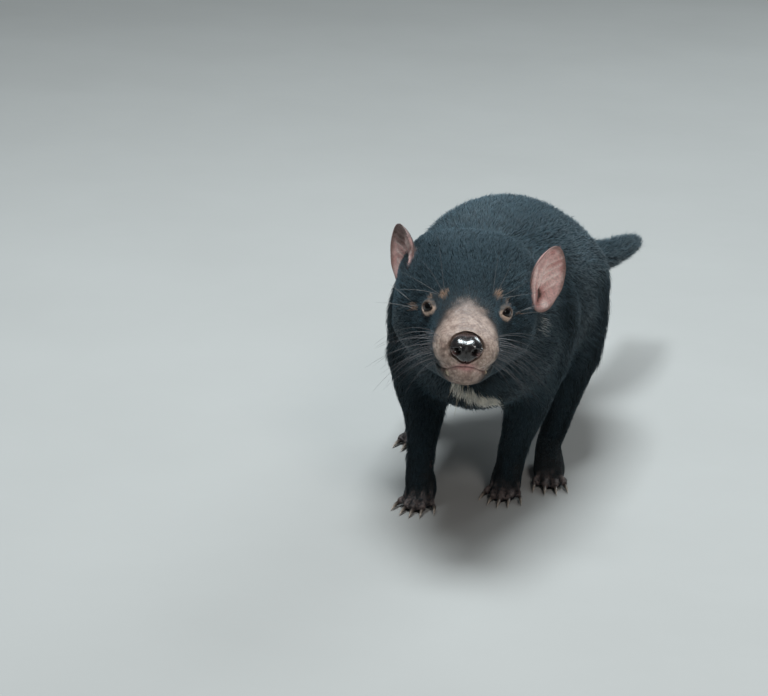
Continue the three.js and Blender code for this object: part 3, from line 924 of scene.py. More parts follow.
def hair_marks(points, seen, owners, chance):
    """The coat's colour at each root. seen is the part of the tuft that shows, nearer its tip."""
    place = into(HEAD, points)
    on_head = among(owners, "head", "lower_jaw")
    count = len(points)
    tone = 1 + 0.15 * wobble(place, 60, 21) + chance.normal(0, 0.13, count)
    colours = BLACK * np.clip(tone, 0.5, 1.7)[:, None]
    # Sun-browned hair on the neck and flanks, and a painted blue of the sky's reflection on the black of the
    # head and legs.
    brown = among(owners, "neck", "chest", "belly", "rump", "tail") * (0.5 + 0.5 * wobble(place, 70, 22))
    colours = colours * mix(SKY_REFLECTION_BLUE, SUN_BROWNED, np.clip(brown, 0, 1)[:, None])
    band = chest_band(seen)
    colours = blended(colours, CREAM, (band > chance.uniform(0.2, 0.8, count)) * 1.0)
    muzzle = np.where(on_head, bare_skin(place), 0)
    colours = blended(colours, MUZZLE * 0.55, (muzzle > chance.uniform(0.05, 0.9, count)) * 0.9)
    brows = np.maximum(spots(place, BROWS, 3.8), 0.7 * spots(place, CHEEK_SPOTS + OVER_EYES, 3.2))
    colours = blended(colours, TAN * 1.15, on_head * (brows > chance.uniform(0.1, 0.9, count)) * 0.9)
    beyond, high = from_lids(place)
    lids = on_head * ease(6, 3.0, beyond) * ease(2.5, -1, high)
    colours = blended(colours, LID * 0.6, (lids > chance.uniform(0.2, 1.0, count)) * 0.8)
    _, hollow, _ = ear_place(points, owners)
    colours = blended(colours, EAR_DEEP * 0.7, hollow * 0.9)
    fringe = np.linalg.norm((into(HEAD, seen) - SILVER_FRINGE) * (1, 0.5, 0.7), axis=1)
    colours = blended(colours, SILVER, (ease(10, 3, fringe) * 0.5 > chance.uniform(0, 1, count)) * 0.9)
    return colours, band


# The coat's lie, length and height at each point of the skin


def before_ears(points):
    """From 0 to 1 in front of an ear, where the hair is short and leaves its hollow open."""
    share = np.zeros(len(points))
    for ear in EARS.values():
        x, y, z = into(ear_frame(ear), points).T
        share = np.maximum(share, ease(1.9, 1.3, ear_reach(x, z)) * ease(-34, -24, y) * ease(10, 2, y))
    return share


def node_middle(name):
    return np.array(middle(name))


def lie_by_part():
    """Which way the hair lies on each solid of flesh, before it is laid along the skin."""
    lies = []
    for name in FLESH:
        part = part_of(name)
        side = name.removeprefix(part)
        way = np.array((0, 1, -0.32))
        if part in ("foreleg_upper", "foreleg_lower", "hindleg_upper", "hindleg_lower"):
            stem = part.split("_")[0]
            way = node_middle(stem + "_lower" + side) - node_middle(stem + "_upper" + side)
            way = unit(way) + (0, 0.25, 0)
        elif part in ("forefoot", "hindfoot"):
            way = np.mean([node_middle(claw) for claw in claws_of(name)], axis=0) - node_middle(name)
        elif part == "tail_base":
            way = node_middle("tail_tip") - node_middle("rump")
        elif part == "tail_tip":
            way = node_middle("tail_tip") - node_middle("tail_base")
        elif part == "ear":
            way = turned(HEAD, np.array((0, 0.6, 1.0)))
        lies.append(unit(np.array(way, float)))
    return np.array(lies)


def along_surface(vectors, normals):
    return unit(vectors - (vectors * normals).sum(1)[:, None] * normals)


def coat_lie(points, normals, edges, owners, head):
    """Which way the hair lies: back from the nose on the head, elsewhere by part, with some drift."""
    place = into(HEAD, points)
    lie = lie_by_part()[owners]
    from_nose = turned(HEAD, place - np.array(NOSE)) + turned(HEAD, np.array((0.0, 0.35, 0.0)))
    lie = np.where(head[:, None], from_nose, lie)
    lie = diffuse(along_surface(lie, normals), edges, 45)
    drift = [wobble(points / MM, 24, seed) + 0.6 * wobble(points / MM, 8, seed + 3) for seed in (31, 32, 33)]
    return along_surface(unit(along_surface(lie, normals)) + 0.17 * np.stack(drift, 1), normals)


def blended_form(form, special, share):
    """The form with a share of a special one, whose None leaves that column alone."""
    columns = [k for k, value in enumerate(special) if value is not None]
    form[:, columns] = mix(form[:, columns], np.array([special[k] for k in columns], float), share[:, None])
    return form


def coat_form(points, edges, owners, head):
    """The tufts' length, width, spacing and rise at each point of the skin, in millimetres."""
    place = into(HEAD, points)
    back = ease(-36, 46, place[:, 1])
    length = np.where(head, mix(2.6, 13, back), by_part("length", owners))
    width = np.where(head, mix(0.2, 0.6, back), by_part("width", owners))
    spacing = np.where(head, mix(0.5, 1.1, back), by_part("spacing", owners))
    rise = np.where(head, 0.82 * head_depth(place), 0.95 * by_part("depth", owners))
    rise = np.where(among(owners, "tail"), TAIL_FULLNESS * rise, rise)
    legs = among(owners, "foreleg", "forefoot", "hindleg", "hindfoot")
    height = points[:, 2] / MM
    down, up = ease(12, 60, height), ease(50, 130, height)
    length = np.where(legs, 4.2 + 5.8 * down + 7 * up, length)
    width = np.where(legs, 0.3 + 0.26 * down + 0.16 * up, width)
    spacing = np.where(legs, 0.72 + 0.42 * down + 0.3 * up, spacing)
    form = np.stack((length, width, spacing, rise), 1)
    band = ease(30, 16, np.linalg.norm(from_eyes(points) - CHEST_BAND, axis=1))
    beyond, _ = from_lids(place)
    for share, special in (
        (band, (11, 0.5, 1.0, None)),
        (before_ears(points) * ~among(owners, "ear"), (4.5, 0.36, 0.8, 1.6)),
        (ease(13, 5, beyond) * head, (2.6, 0.2, 0.48, 0.8)),
    ):
        form = blended_form(form, special, share)
    form = diffuse(form, edges, 8)
    return blended_form(form, (1.6, 0.11, 1.3, 0.3), np.where(head, bare_skin(place), 0)).T


def coat_density(points, spacing, owners, head):
    """How close the tufts stand: few in the ears' hollows, none on the nose, the soles or the lids' edges."""
    reach, hollow, _ = ear_place(points, owners)
    spacing = np.where(hollow > 0.5, np.where(reach > 0.85, 1.8, 5.5), spacing)
    beyond, high = from_lids(into(HEAD, points))
    bald = mix(2.2, 0.4, ease(-1, 2.0, high))
    density = 1 / spacing**2
    density *= ease(bald, bald + 1.0, np.where(head, beyond, 99))
    density[among(owners, "nose")] = 0
    density[points[:, 2] < SOLE * MM] = 0
    return density


def coat_sag(mesh, points, lie, length):
    """How far from a straight hair's end the skin below it curves away."""
    tree = BVHTree.FromPolygons(points.tolist(), triangles_of(mesh).tolist())
    ends = points + lie * (length * MM)[:, None]
    sag = np.array([tree.find_nearest(end)[0] for end in ends.tolist()]) - ends
    most = MOST_SAG * length * MM
    return sag * np.minimum(1, most / (np.linalg.norm(sag, axis=1) + 1e-9))[:, None]


def coat_plan(mesh):
    """What a tuft takes from the skin below it, at each point of the skin."""
    points, normals, edges = points_of(mesh), normals_of(mesh), edges_of(mesh)
    owners = owners_of(points)
    head = among(owners, "head", "lower_jaw", "eye", "nose")
    lie = coat_lie(points, normals, edges, owners, head)
    length, width, spacing, rise = coat_form(points, edges, owners, head)
    return dict(
        points=points,
        normals=normals,
        lie=lie,
        sag=coat_sag(mesh, points, lie, length),
        length=length,
        width=width,
        rise=rise,
        density=coat_density(points, spacing, owners, head),
        owners=owners,
    )


def plant(plan, triangles, chance):
    """Roots spread over the skin, closer where the coat is finer, each with what it takes from the plan."""
    corners = plan["points"][triangles]
    across = np.cross(corners[:, 1] - corners[:, 0], corners[:, 2] - corners[:, 0])
    area = np.linalg.norm(across, axis=1) / 2 / MM**2
    wanted = area * plan["density"][triangles].mean(1)
    cost = np.where(plan["length"][triangles].mean(1) < SHORT_HAIR, len(SPIKE_FACES), len(TUFT_FACES))
    wanted *= COAT_TRIANGLES / (wanted * cost).sum()
    many = np.floor(wanted + chance.uniform(0, 1, len(wanted))).astype(int)
    home = np.repeat(np.arange(len(triangles)), many)
    a, b = chance.uniform(0, 1, (2, len(home)))
    over = a + b > 1
    a, b = np.where(over, 1 - a, a), np.where(over, 1 - b, b)
    shares = np.stack((1 - a - b, a, b), 1)
    roots = {}
    for key, values in plan.items():
        if key == "owners":
            roots[key] = values[triangles[home, 0]]
        elif values.ndim == 2:
            roots[key] = (values[triangles[home]] * shares[:, :, None]).sum(1)
        else:
            roots[key] = (values[triangles[home]] * shares).sum(1)
    roots["short"] = roots["length"] * chance.uniform(0.6, 1.6, len(home)) < SHORT_HAIR
    return roots


def clumped(points, cell):
    """The middle of each root's clump: the roots in the same small cell of space."""
    shifted = points + 0.35 * cell * np.stack([wobble(points, 3 * cell, seed) for seed in (41, 42, 43)], 1)
    cells = np.floor(shifted / cell).astype(np.int64)
    _, which = np.unique(cells, axis=0, return_inverse=True)
    which = which.ravel()
    count = np.bincount(which)
    sums = np.stack([np.bincount(which, points[:, k]) for k in range(3)], 1)
    return (sums / count[:, None])[which]


RING = ((-0.5, 0.0), (0.5, 0.0), (0.0, 0.42))  # a tuft's section: flat below, a ridge above
TUFT_ROOT = [(0, 2, 1)]
TUFT_SIDES = [face for a, b in ((0, 1), (1, 2), (2, 0)) for face in ((a, b, b + 3), (a, b + 3, a + 3))]
TUFT_END = [(3, 4, 6), (4, 5, 6), (5, 3, 6)]
TUFT_FACES = np.array(TUFT_ROOT + TUFT_SIDES + TUFT_END)
TUFT_PATCHES = np.array([(0, 0), (1, 0), (0.5, 0), (0.1, 0.5), (0.9, 0.5), (0.5, 0.5), (0.5, 1)])
# Each tuft is darker towards its root, as painted shade where the tufts cover one another, and lighter at its
# tip.
TUFT_SHADE_ROOT_TO_TIP = np.array((0.7, 0.7, 0.75, 1.0, 1.0, 1.05, 1.12))
SPIKE_FACES = np.array([(0, 2, 1), (0, 1, 3), (1, 2, 3), (2, 0, 3)])
SPIKE_PATCHES = TUFT_PATCHES[[0, 1, 2, 6]]
SPIKE_SHADE_ROOT_TO_TIP = np.array((0.82, 0.82, 0.88, 1.12))


def tufts(roots, chance):
    """Solid tufts, seven points each: a ring at the root, a ring half way, and the tip."""
    count = len(roots["points"])
    normals = unit(roots["normals"])
    stray = chance.normal(0, 0.13, (count, 3))
    lie = along_surface(unit(roots["lie"]) + stray, normals)
    proud = chance.uniform(0, 1, count) < UPRIGHT_SHARE
    length = roots["length"] * chance.uniform(0.7, 1.2, count) * np.where(proud, 1.2, 1)
    rise = roots["rise"] * chance.uniform(0.5, 1.12, count) * np.where(proud, 1.3, 1)
    rise = np.minimum(rise, 0.75 * length)
    width = roots["width"] * chance.uniform(0.75, 1.25, count) * np.where(proud, 0.5, 1)
    base = roots["points"] - normals * (ROOT_DEPTH * MM)
    stretch = (length / np.maximum(roots["length"], 0.1))[:, None]
    sag = roots["sag"] * stretch**2
    clump = clumped(roots["points"], CLUMP * MM) - roots["points"]
    clump = clump - (clump * normals).sum(1)[:, None] * normals
    clump *= np.minimum(1, roots["length"] / 12)[:, None] * 0.42
    along = lie * (length * MM)[:, None]
    tip = roots["points"] + along + sag + normals * (rise * MM)[:, None] + clump
    half = roots["points"] + 0.46 * along + 0.2 * sag + normals * (0.74 * rise * MM)[:, None] + 0.35 * clump
    side = unit(np.cross(normals, tip - base))
    over = unit(np.cross(tip - half, side))
    wide = (width * MM)[:, None]
    points = np.empty((count, 7, 3))
    for i, (across, up) in enumerate(RING):
        points[:, i] = base + wide * (0.9 * across * side + up * normals)
        points[:, 3 + i] = half + wide * (0.85 * across * side + 0.8 * up * over)
    points[:, 6] = tip
    return points


def joined_tufts(points, hair, pale, places, faces, patches, shades):
    """Corners, triangles, colours and map patches of tufts that all have the same faces."""
    count, corners = points.shape[:2]
    triangles = (faces[None] + corners * np.arange(count)[:, None, None]).reshape(-1, 3)
    # The shades darken each tuft towards its root as painted shade. The pale band's hairs keep their own
    # colour.
    colours = hair[:, None] * mix(shades[None, :], 1.0, pale[:, None])[:, :, None]
    spots = places[:, None] * (1 - TUFT_PATCH) + TUFT_PATCH * patches[None]
    return points.reshape(-1, 3), triangles, colours.reshape(-1, 3), spots.reshape(-1, 2)


def coat_piece(name, roots, chance):
    points = tufts(roots, chance)
    seen = mix(points[:, 0], points[:, 6], 0.75)
    hair, pale = hair_marks(roots["points"], seen, roots["owners"], chance)
    places = unwrapped(roots["points"])
    short = roots["short"]
    kinds = (
        (~short, [0, 1, 2, 3, 4, 5, 6], TUFT_FACES, TUFT_PATCHES, TUFT_SHADE_ROOT_TO_TIP),
        (short, [0, 1, 2, 6], SPIKE_FACES, SPIKE_PATCHES, SPIKE_SHADE_ROOT_TO_TIP),
    )
    made = [
        joined_tufts(points[chosen][:, corners], hair[chosen], pale[chosen], places[chosen], *form)
        for chosen, corners, *form in kinds
    ]
    made[1] = (made[1][0], made[1][1] + len(made[0][0]), *made[1][2:])
    points, triangles, colours, spots = (np.concatenate(pair) for pair in zip(*made, strict=True))
    mesh = mesh_from(name, points, triangles)
    paint(mesh, np.clip(colours, 0, 1))
    unwrap = mesh.uv_layers.new(name="OFBake")
    unwrap.uv.foreach_set("vector", spots[triangles.ravel()].astype(np.float32).ravel())
    mesh.materials.append(LOOKS["coat"])
    piece = new_object(name, mesh)
    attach(piece, "root")


def unwrapped(points):
    """A part of the skin rolled out flat: the angle round its own length, and the place along it."""
    centred = points - points.mean(0)
    _, _, ways = np.linalg.svd(centred[:: max(1, len(points) // 2000)], full_matrices=False)
    along = centred @ ways[0]
    around = np.arctan2(centred @ ways[2], centred @ ways[1])
    flat = np.stack((around, along), 1)
    return (flat - flat.min(0)) / (flat.max(0) - flat.min(0))


COAT_REGIONS = {
    "muzzle": ("lower_jaw", "nose", "eye"),
    "head": ("head",),
    "ears": ("ear",),
    "neck": ("neck",),
    "chest": ("chest",),
    "belly": ("belly",),
    "rump": ("rump",),
    "tail": ("tail",),
    "forelegs": ("foreleg", "forefoot"),
    "hindlegs": ("hindleg", "hindfoot"),
}


def parted(roots):
    """The roots in lots small enough for a piece, each half of a lot on one side of its middle."""
    short = roots["short"]
    if short.sum() * len(SPIKE_FACES) + (~short).sum() * len(TUFT_FACES) < MOST_TRIANGLES:
        return [roots]
    spread = np.ptp(roots["points"], axis=0)
    place = roots["points"][:, np.argmax(spread)]
    near = place < np.median(place)
    halves = [{key: values[side] for key, values in roots.items()} for side in (near, ~near)]
    return [lot for half in halves for lot in parted(half)]


def grow_coat(mesh):
    chance = np.random.default_rng(5)
    plan = coat_plan(mesh)
    roots = plant(plan, triangles_of(mesh), chance)
    for region, prefixes in COAT_REGIONS.items():
        chosen = among(roots["owners"], *prefixes)
        lots = parted({key: values[chosen] for key, values in roots.items()})
        for number, lot in enumerate(lots):
            if len(lot["points"]) > 20:
                coat_piece(f"coat_{region}_{number + 1}", lot, chance)


# Smaller pieces


def grid_faces(rows, columns):
    """Triangles of a grid of points closed round its columns, with one point before it and one after it."""
    around = np.arange(columns)
    after = (around + 1) % columns
    last = rows * columns + 1
    faces = [np.stack((np.zeros(columns, int), 1 + after, 1 + around), 1)]
    for row in range(rows - 1):
        low, high = 1 + row * columns, 1 + (row + 1) * columns
        faces.append(np.stack((low + around, low + after, high + after), 1))
        faces.append(np.stack((low + around, high + after, high + around), 1))
    high = 1 + (rows - 1) * columns
    faces.append(np.stack((high + around, high + after, np.full(columns, last)), 1))
    return np.concatenate(faces)


def tube(path, radii, sides, flat=1.0):
    """Points and triangles of a closed tube along a path, round or flattened from side to side."""
    ways = unit(np.gradient(path, axis=0))
    side = unit(np.cross(ways, (0.0, 0.0, 1.0)))
    over = np.cross(side, ways)
    angle = np.linspace(0, 2 * math.pi, sides, endpoint=False)
    rings = path[:, None] + radii[:, None, None] * (
        np.cos(angle)[None, :, None] * side[:, None] * flat + np.sin(angle)[None, :, None] * over[:, None]
    )
    points = np.concatenate((path[:1], rings.reshape(-1, 3), path[-1:]))
    return points, grid_faces(len(path), sides)


def piece_from(name, points, triangles, look, replaced=()):
    mesh = mesh_from(name, points, triangles)
    form = bmesh.new()
    form.from_mesh(mesh)
    bmesh.ops.recalc_face_normals(form, faces=form.faces)
    form.to_mesh(mesh)
    form.free()
    piece = new_object(name, mesh)
    mesh.materials.append(LOOKS[look])
    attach(piece, "root")
    if replaced:
        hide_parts(*replaced)
    return piece


CORNEA = 0.6
IRIS = 37.0  # degrees from the middle of the gaze
PUPIL = 19.0
FORWARD = np.array((0.0, -1.0, 0.17))  # both eyes turn partly from where they sit to this


def polar_grid(away, columns):
    """Angles away from a pole and around it for the points of a closed grid, its two poles among them."""
    around = np.tile(np.linspace(0, 2 * math.pi, columns, endpoint=False), len(away))
    away = np.repeat(away, columns)
    return np.concatenate(([0.0], away, [math.pi])), np.concatenate(([0.0], around, [0.0]))


def eyeball(name, side):
    centre, _, _, way = eye_frame(side)
    gaze = unit(mix(way, FORWARD, 0.38))
    across = unit(np.cross((0, 0, 1), gaze))
    up = np.cross(gaze, across)
    rows, columns = 60, 72
    away, around = polar_grid(np.linspace(0, math.pi, rows + 2)[1:-1], columns)
    degrees = np.degrees(away)
    radius = EYE_RADIUS + CORNEA * ease(IRIS + 4, 12, degrees)
    ball = np.sin(away)[:, None] * (np.cos(around)[:, None] * across + np.sin(around)[:, None] * up)
    ball = (ball + np.cos(away)[:, None] * gaze) * radius[:, None]
    eye = piece_from(name, out_of(HEAD, centre + ball), grid_faces(rows, columns), "eye", (name[5:],))
    rays = 0.5 + 0.5 * np.sin(around * 34 + 2 * np.sin(around * 5))
    iris = mix(linear(17, 11, 9), linear(38, 23, 16), (rays * ease(PUPIL, IRIS - 6, degrees))[:, None])
    colours = blended(iris, linear(5, 4, 4), ease(PUPIL + 1, PUPIL - 1, degrees))
    colours = blended(colours, linear(20, 14, 12), ease(IRIS - 7, IRIS - 1, degrees))
    colours = blended(colours, linear(92, 72, 66), ease(IRIS, IRIS + 5, degrees))
    paint(eye.data, colours)


PAD_REACH = math.radians(128)  # from its front to its rim in the muzzle
PAD_HALF = 13.6
NOSTRIL = (8.0, -24.2)


def nose_points(away, around):
    """The nose pad: a rounded block, wide above and narrowing to the lip, in the head's frame."""
    wide = np.abs(np.sin(away)) ** 0.72
    deep = np.sign(np.cos(away)) * np.abs(np.cos(away)) ** 0.8
    level = np.sin(around) * wide
    x = PAD_HALF * np.cos(around) * wide * (1 - 0.4 * np.maximum(0, -level) ** 1.4)
    z = NOSE[2] + np.where(level > 0, 10.6, 12.2) * level
    y = -56.2 - 8.6 * deep + 0.62 * np.maximum(0, z + 19) ** 1.15
    place = np.stack((x, y, z), 1)
    out = unit(place - np.array((0, -52, NOSE[2])))
    front = ease(-54, -58, y)
    hole = np.hypot((np.abs(x) - NOSTRIL[0]) / 3.1, (z - NOSTRIL[1]) / 2.5)
    slit_at = np.clip((np.abs(x) - 9.5) / 4, 0, 1)
    slit = np.abs(z - (-23.8 + 3.6 * slit_at**1.5)) + 6 * ease(9.0, 8.0, np.abs(x))
    push = -4.2 * ease(1.25, 0.5, hole) * front
    push -= 1.5 * bell(slit, 0.9) * ease(-52, -55, y)
    push += 0.6 * bell(hole - 1.55, 0.35) * front
    push -= 0.9 * bell(x, 0.75) * ease(-19, -24, z) * front
    push -= 0.6 * bell(x, 3.2) * ease(-17, -12.5, z)
    push += 0.7 * bell(np.hypot(np.abs(x) - 6.5, z + 15.5), 4.5)
    push += 0.03 * wobble(place, 1.4, 51)
    return place + out * push[:, None], ease(1.2, 0.7, hole) * front


def nose_pad():
    rows, columns = 84, 120
    away, around = polar_grid(np.linspace(0, PAD_REACH, rows + 1)[1:], columns)
    place, hole = nose_points(away, around)
    place[-1] = place[1:-1][-columns:].mean(0)
    faces = grid_faces(rows, columns)
    pad = piece_from("nose_pad", out_of(HEAD, place), faces, "nose_pad", ("nose",))
    tone = 0.5 + 0.5 * wobble(place, 3, 52)
    colours = mix(linear(20, 18, 19), linear(34, 27, 26), tone[:, None])
    rim = bell(np.hypot((np.abs(place[:, 0]) - 11.0) / 2.2, (place[:, 2] + 27.0) / 2.6), 1.0)
    colours = blended(colours, linear(140, 88, 80), 0.55 * rim)
    # The nostrils are painted near black: painted shade inside them.
    colours = blended(colours, linear(6, 4, 5), 0.85 * hole)
    edge = ease(-57.5, -54.5, place[:, 1])
    colours = blended(colours, linear(86, 70, 68), 0.7 * edge)
    paint(pad.data, colours)


CLAW_ROOT = 0.42  # how far it reaches back into the toe, as a share of its length
CLAW_ARCH = 2.4
CLAW_RADIUS = 2.0
CLAW_RINGS = 22
CLAW_SIDES = 14


def claw(node):
    root, tip = CLAWS[node]
    share = np.linspace(-CLAW_ROOT, 1, CLAW_RINGS)
    path = root + share[:, None] * (tip - root)
    path[:, 2] += CLAW_ARCH * MM * np.clip(share, -0.3, 1) * (1 - share)
    taper = np.clip(1 - np.maximum(share, 0) ** 1.5, 0.1, 1) * ease(-0.75, 0.0, share)
    points, faces = tube(path, CLAW_RADIUS * MM * taper, CLAW_SIDES, flat=0.78)
    horn = piece_from("horn" + node.removeprefix("claw"), points, faces, "claw", (node,))
    along = np.concatenate(([share[0]], np.repeat(share, CLAW_SIDES), [1.0]))
    colours = mix(linear(70, 60, 56), linear(176, 162, 148), ease(-0.05, 0.85, along)[:, None])
    paint(horn.data, colours * (1 + 0.12 * wobble(points / MM, 1.6, 61))[:, None])


HAIR_RINGS = 13
HAIR_SIDES = 5
WHISKER_ROWS = (-16, -21, -26, -31, -36)  # how high each row stands beside the nose
WHISKER_COLUMNS = 5
BROW_FAN = (  # across, up, outward, upward and length of each whisker over an eye
    (20, 13, 0.05, 1.0, 50),
    (22, 14, 0.4, 0.9, 42),
    (24, 12, 0.85, 0.5, 36),
    (26, 12, 1.0, 0.25, 32),
)
CHEEK_WHISKERS = ((9, -1), (12, -4), (16, 0))  # back and up
CHIN_HAIRS = ((-3, -42, -0.1, 24), (1, -40, -0.35, 27), (4, -43, 0.12, 17), (-6, -38, -0.5, 15))


def on_skin(tree, start, way):
    """Where a line from outside meets the skin, for a start and a way in the head's frame."""
    origin = Vector(out_of(HEAD, np.array([start], float))[0])
    hit = tree.ray_cast(origin, Vector(turned(HEAD, np.array(way, float))), 0.2)
    return None if hit[0] is None else np.array(hit[0])


def hairs(name, tree, wanted, thick, colour, chance):
    """Long single hairs in one piece: each a thin tapered tube that leaves the skin and sags to its droop.

    Each hair wanted is the start and the way of a line to its root, then its own way, length and droop.
    """
    points, faces, shades = [], [], []
    start = 0
    steps = np.linspace(0, 1, HAIR_RINGS)
    for *line, way, length, droop in wanted:
        root = on_skin(tree, *line)
        if root is None:
            continue
        bend = unit(chance.normal(size=3)) * 0.16
        way = turned(HEAD, unit(np.array(way)))
        path = root + (steps[:, None] * way + steps[:, None] ** 2 * bend) * length * MM
        path[:, 2] -= steps**2.2 * droop * MM
        hair, triangles = tube(path, thick * MM * (1 - steps) ** 0.7 + 0.02 * MM, HAIR_SIDES)
        points.append(hair)
        faces.append(triangles + start)
        tip = colour * chance.uniform(0.6, 1.5)
        shades.append(mix(colour, tip, np.linspace(0, 1, len(hair))[:, None]))
        start += len(hair)
    made = piece_from(name, np.concatenate(points), np.concatenate(faces), "whisker")
    paint(made.data, np.clip(np.concatenate(shades), 0, 1))


def muzzle_whiskers(side, chance):
    wanted = []
    for row, z in enumerate(WHISKER_ROWS):
        for column in range(WHISKER_COLUMNS):
            back = column / (WHISKER_COLUMNS - 1)
            y = -46 + 5.2 * column + 1.6 * (row % 2) + chance.normal(0, 0.5)
            upward = 0.12 - 0.13 * row + chance.normal(0, 0.08)
            way = (side * (1.0 - 0.25 * back), -0.25 + 0.75 * back, upward)
            length = 24 + 36 * back * chance.uniform(0.7, 1.1)
            wanted.append(((side * 70, y, z), (-side, 0, 0), way, length, 10 + 12 * back))
    return wanted


def brow_whiskers(side, chance):
    wanted = []
    for x, z, outward, upward, length in BROW_FAN:
        way = (side * outward + chance.normal(0, 0.08), -0.2, upward)
        wanted.append(((side * x, -60, z), (0, 1, 0), way, length, chance.uniform(-4, 7)))
    for y, z in CHEEK_WHISKERS:
        way = (side * 0.8, 0.4, 0.25 + chance.normal(0, 0.15))
        wanted.append(((side * 90, y, z), (-side, 0, 0), way, chance.uniform(25, 40), 6))
    return wanted


def whiskers(mesh):
    chance = np.random.default_rng(71)
    tree = BVHTree.FromPolygons(points_of(mesh).tolist(), triangles_of(mesh).tolist())
    for side, name in ((1, "left"), (-1, "right")):
        by_nose, by_brow = muzzle_whiskers(side, chance), brow_whiskers(side, chance)
        hairs("whiskers_muzzle_" + name, tree, by_nose, 0.19, linear(92, 90, 92), chance)
        hairs("whiskers_brow_" + name, tree, by_brow, 0.19, linear(120, 118, 118), chance)
    chin = [((x, y, -90), (0, 0, 1), (aside, -0.15, -1.0), length, 2) for x, y, aside, length in CHIN_HAIRS]
    hairs("whiskers_chin", tree, chin, 0.18, linear(180, 168, 150), chance)


# Materials


class Look:
    """A procedural material. Plain numbers go on its shader's sockets, and its colour is the marking."""

    def __init__(self, name, **settings):
        self.material = LOOKS[name] = bpy.data.materials.new("fine_" + name)
        self.material.use_nodes = True
        self.tree = self.material.node_tree
        self.shader = self.tree.nodes["Principled BSDF"]
        for key, value in settings.items():
            self.shader.inputs[key.replace("_", " ").title().replace("Ior", "IOR")].default_value = value
        self.marking = self.node("ShaderNodeAttribute", attribute_name="marking")
        self.place = self.node("ShaderNodeTexCoord").outputs["Object"]

    def node(self, kind, inputs=None, **settings):
        made = self.tree.nodes.new(kind)
        for key, value in settings.items():
            setattr(made, key, value)
        for key, value in (inputs or {}).items():
            if isinstance(value, bpy.types.NodeSocket):
                self.tree.links.new(value, made.inputs[key])
            else:
                made.inputs[key].default_value = value
        return made

    def noise(self, size, detail=3.0):
        """Noise whose features are about that many millimetres across."""
        inputs = {"Vector": self.place, "Scale": 1 / (size * MM), "Detail": detail}
        return self.node("ShaderNodeTexNoise", inputs).outputs["Fac"]

    def cells(self, size):
        """The distance from the middles of cells about that many millimetres across."""
        inputs = {"Vector": self.place, "Scale": 1 / (size * MM)}
        return self.node("ShaderNodeTexVoronoi", inputs).outputs["Distance"]

    def ranged(self, value, low, high, from_low=0.3, from_high=0.7):
        inputs = {"Value": value, "From Min": from_low, "From Max": from_high, "To Min": low, "To Max": high}
        return self.node("ShaderNodeMapRange", inputs).outputs["Result"]

    def times(self, a, b):
        made = self.node("ShaderNodeMath", operation="MULTIPLY")
        self.tree.links.new(a, made.inputs[0])
        self.tree.links.new(b, made.inputs[1])
        return made.outputs["Value"]

    def shaded(self, colour, shade):
        """A colour made lighter or darker by a value around 1."""
        made = self.node("ShaderNodeVectorMath", operation="SCALE")
        self.tree.links.new(colour, made.inputs[0])
        self.tree.links.new(shade, made.inputs["Scale"])
        return made.outputs["Vector"]

    def bump(self, height, strength, distance, over=None):
        inputs = {"Height": height, "Strength": strength, "Distance": distance * MM}
        if over is not None:
            inputs["Normal"] = over
        return self.node("ShaderNodeBump", inputs).outputs["Normal"]

    def use(self, socket, value):
        self.tree.links.new(value, self.shader.inputs[socket])

    def mottled(self, size, dark, light, detail=3.0):
        """Colours the surface by its marking, darker and lighter by noise of that size."""
        shade = self.ranged(self.noise(size, detail), dark, light)
        self.use("Base Color", self.shaded(self.marking.outputs["Color"], shade))

    def rough(self, size, low, high):
        self.use("Roughness", self.ranged(self.noise(size), low, high))


def make_coat_look():
    look = Look(
        "coat",
        sheen_weight=0.15,
        sheen_tint=(0.42, 0.78, 1.0, 1),
        specular_ior_level=0.4,
        specular_tint=(0.78, 0.93, 1.0, 1),
    )
    look.mottled(6, 0.75, 1.3)
    look.rough(3, 0.44, 0.6)


def make_skin_look():
    look = Look("skin", specular_ior_level=0.45)
    bare = look.node("ShaderNodeAttribute", attribute_name="bare").outputs["Fac"]
    look.mottled(1.6, 0.78, 1.22, detail=5)
    look.use("Roughness", look.ranged(bare, 0.8, 0.5, 0, 1))
    pores = look.times(look.ranged(look.cells(1.2), 0, 1, 0.05, 0.6), bare)
    wrinkled = look.bump(look.noise(2.2, 6), 0.35, 0.5)
    look.use("Normal", look.bump(pores, 0.55, 0.35, wrinkled))


def make_nose_look():
    look = Look("nose_pad", specular_ior_level=0.3, coat_weight=1.0, coat_roughness=0.13, coat_ior=1.45)
    look.mottled(1.2, 0.8, 1.25)
    look.rough(2, 0.2, 0.36)
    look.use("Normal", look.bump(look.ranged(look.cells(0.9), 0, 1, 0.02, 0.5), 0.3, 0.1))


def make_eye_look():
    look = Look(
        "eye", coat_weight=1.0, coat_roughness=0.01, coat_ior=1.4, roughness=0.3, specular_ior_level=0.0
    )
    look.mottled(0.5, 0.85, 1.15)


def make_claw_look():
    look = Look("claw", specular_ior_level=0.5)
    look.mottled(1.4, 0.72, 1.2, detail=5)
    look.rough(0.8, 0.3, 0.5)
    look.use("Normal", look.bump(look.noise(0.7, 4), 0.3, 0.15))


def make_whisker_look():
    look = Look("whisker", roughness=0.4, specular_ior_level=0.5)
    look.mottled(3, 0.8, 1.2)


def make_floor_look():
    look = Look("floor", specular_ior_level=0.2)
    tones = {"Color1": (0.37, 0.362, 0.35, 1), "Color2": (0.41, 0.402, 0.39, 1), "Fac": look.noise(240, 5)}
    look.use("Base Color", look.node("ShaderNodeMixRGB", tones).outputs["Color"])
    look.rough(40, 0.75, 0.9)


# Camera, floor and light


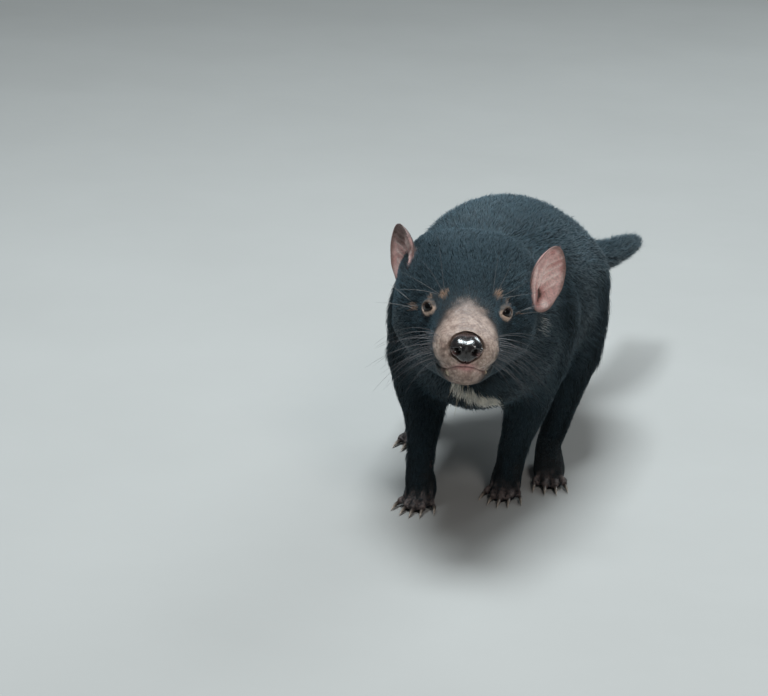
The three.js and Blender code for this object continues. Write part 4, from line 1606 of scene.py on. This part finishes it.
def make_camera():
    camera = bpy.data.objects.new("camera", bpy.data.cameras.new("camera"))
    camera.data.lens = LENS
    camera.data.sensor_width = 36.0
    camera.data.clip_end = 60.0
    camera.matrix_world = (
        Matrix.Translation(EYES + Vector(CAMERA_OFFSET) * MM)
        @ rotation("Z", CAMERA_AZIMUTH)
        @ rotation("X", 90 - CAMERA_ELEVATION)
        @ rotation("Z", CAMERA_ROLL)
    )
    bpy.context.scene.collection.objects.link(camera)
    bpy.context.scene.camera = camera


def make_floor():
    half = FLOOR_HALF
    corners = np.array([[-half, -half, 0], [half, -half, 0], [half, half, 0], [-half, half, 0]])
    floor = new_object("floor", mesh_from("floor", corners, np.array([[0, 1, 2], [0, 2, 3]])))
    floor.data.materials.append(LOOKS["floor"])


def lamp(name, at, size, power, colour):
    """A soft square lamp that shines on her middle. Sizes are in metres."""
    made = bpy.data.objects.new(name, bpy.data.lights.new(name, "AREA"))
    made.data.energy = power
    made.data.size = size
    made.data.color = colour
    aim = Vector(at) - Vector(LIT)
    made.matrix_world = Matrix.Translation(at) @ aim.to_track_quat("Z", "Y").to_matrix().to_4x4()
    bpy.context.scene.collection.objects.link(made)


def make_light():
    world = bpy.data.worlds.new("studio")
    bpy.context.scene.world = world
    world.use_nodes = True
    background = world.node_tree.nodes["Background"]
    background.inputs["Color"].default_value = (0.84, 0.94, 1.0, 1)
    background.inputs["Strength"].default_value = 0.11
    lamp("sky", (-0.2, -0.1, 2.6), 1.1, 92, (0.86, 0.96, 1.0))
    lamp("key", (1.1, -2.0, 1.9), 0.6, 17, (1.0, 0.97, 0.93))
    lamp("back", (0.9, 2.2, 1.8), 1.1, 26, (0.85, 0.96, 1.0))
    bpy.context.scene.view_settings.view_transform = "Standard"


# Putting her together


def make_skin():
    skin = melted_flesh()
    mesh = skin.data
    keep_largest_shell(mesh)
    draw_in(mesh)
    refine(mesh, face_detail, 2)
    sculpt_face(mesh)
    refine(mesh, toe_detail, 1)
    sculpt_toes(mesh)
    join_ears(skin)
    thin_out_body(skin)
    mesh = skin.data
    mesh.shade_smooth()
    points = points_of(mesh)
    colours, bare = skin_marks(points, normals_of(mesh), owners_of(points))
    paint(mesh, colours)
    store(mesh, "bare", bare)
    mesh.materials.clear()
    mesh.materials.append(LOOKS["skin"])
    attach(skin, "root")
    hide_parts(*[name for name in FLESH if not name.startswith(("eye", "nose"))])
    return mesh


make_coat_look()
make_skin_look()
make_nose_look()
make_eye_look()
make_claw_look()
make_whisker_look()
make_floor_look()
skin_mesh = make_skin()
grow_coat(skin_mesh)
eyeball("ball_eye_left", 1)
eyeball("ball_eye_right", -1)
nose_pad()
for node in CLAWS:
    claw(node)
whiskers(skin_mesh)
make_camera()
make_floor()
make_light()
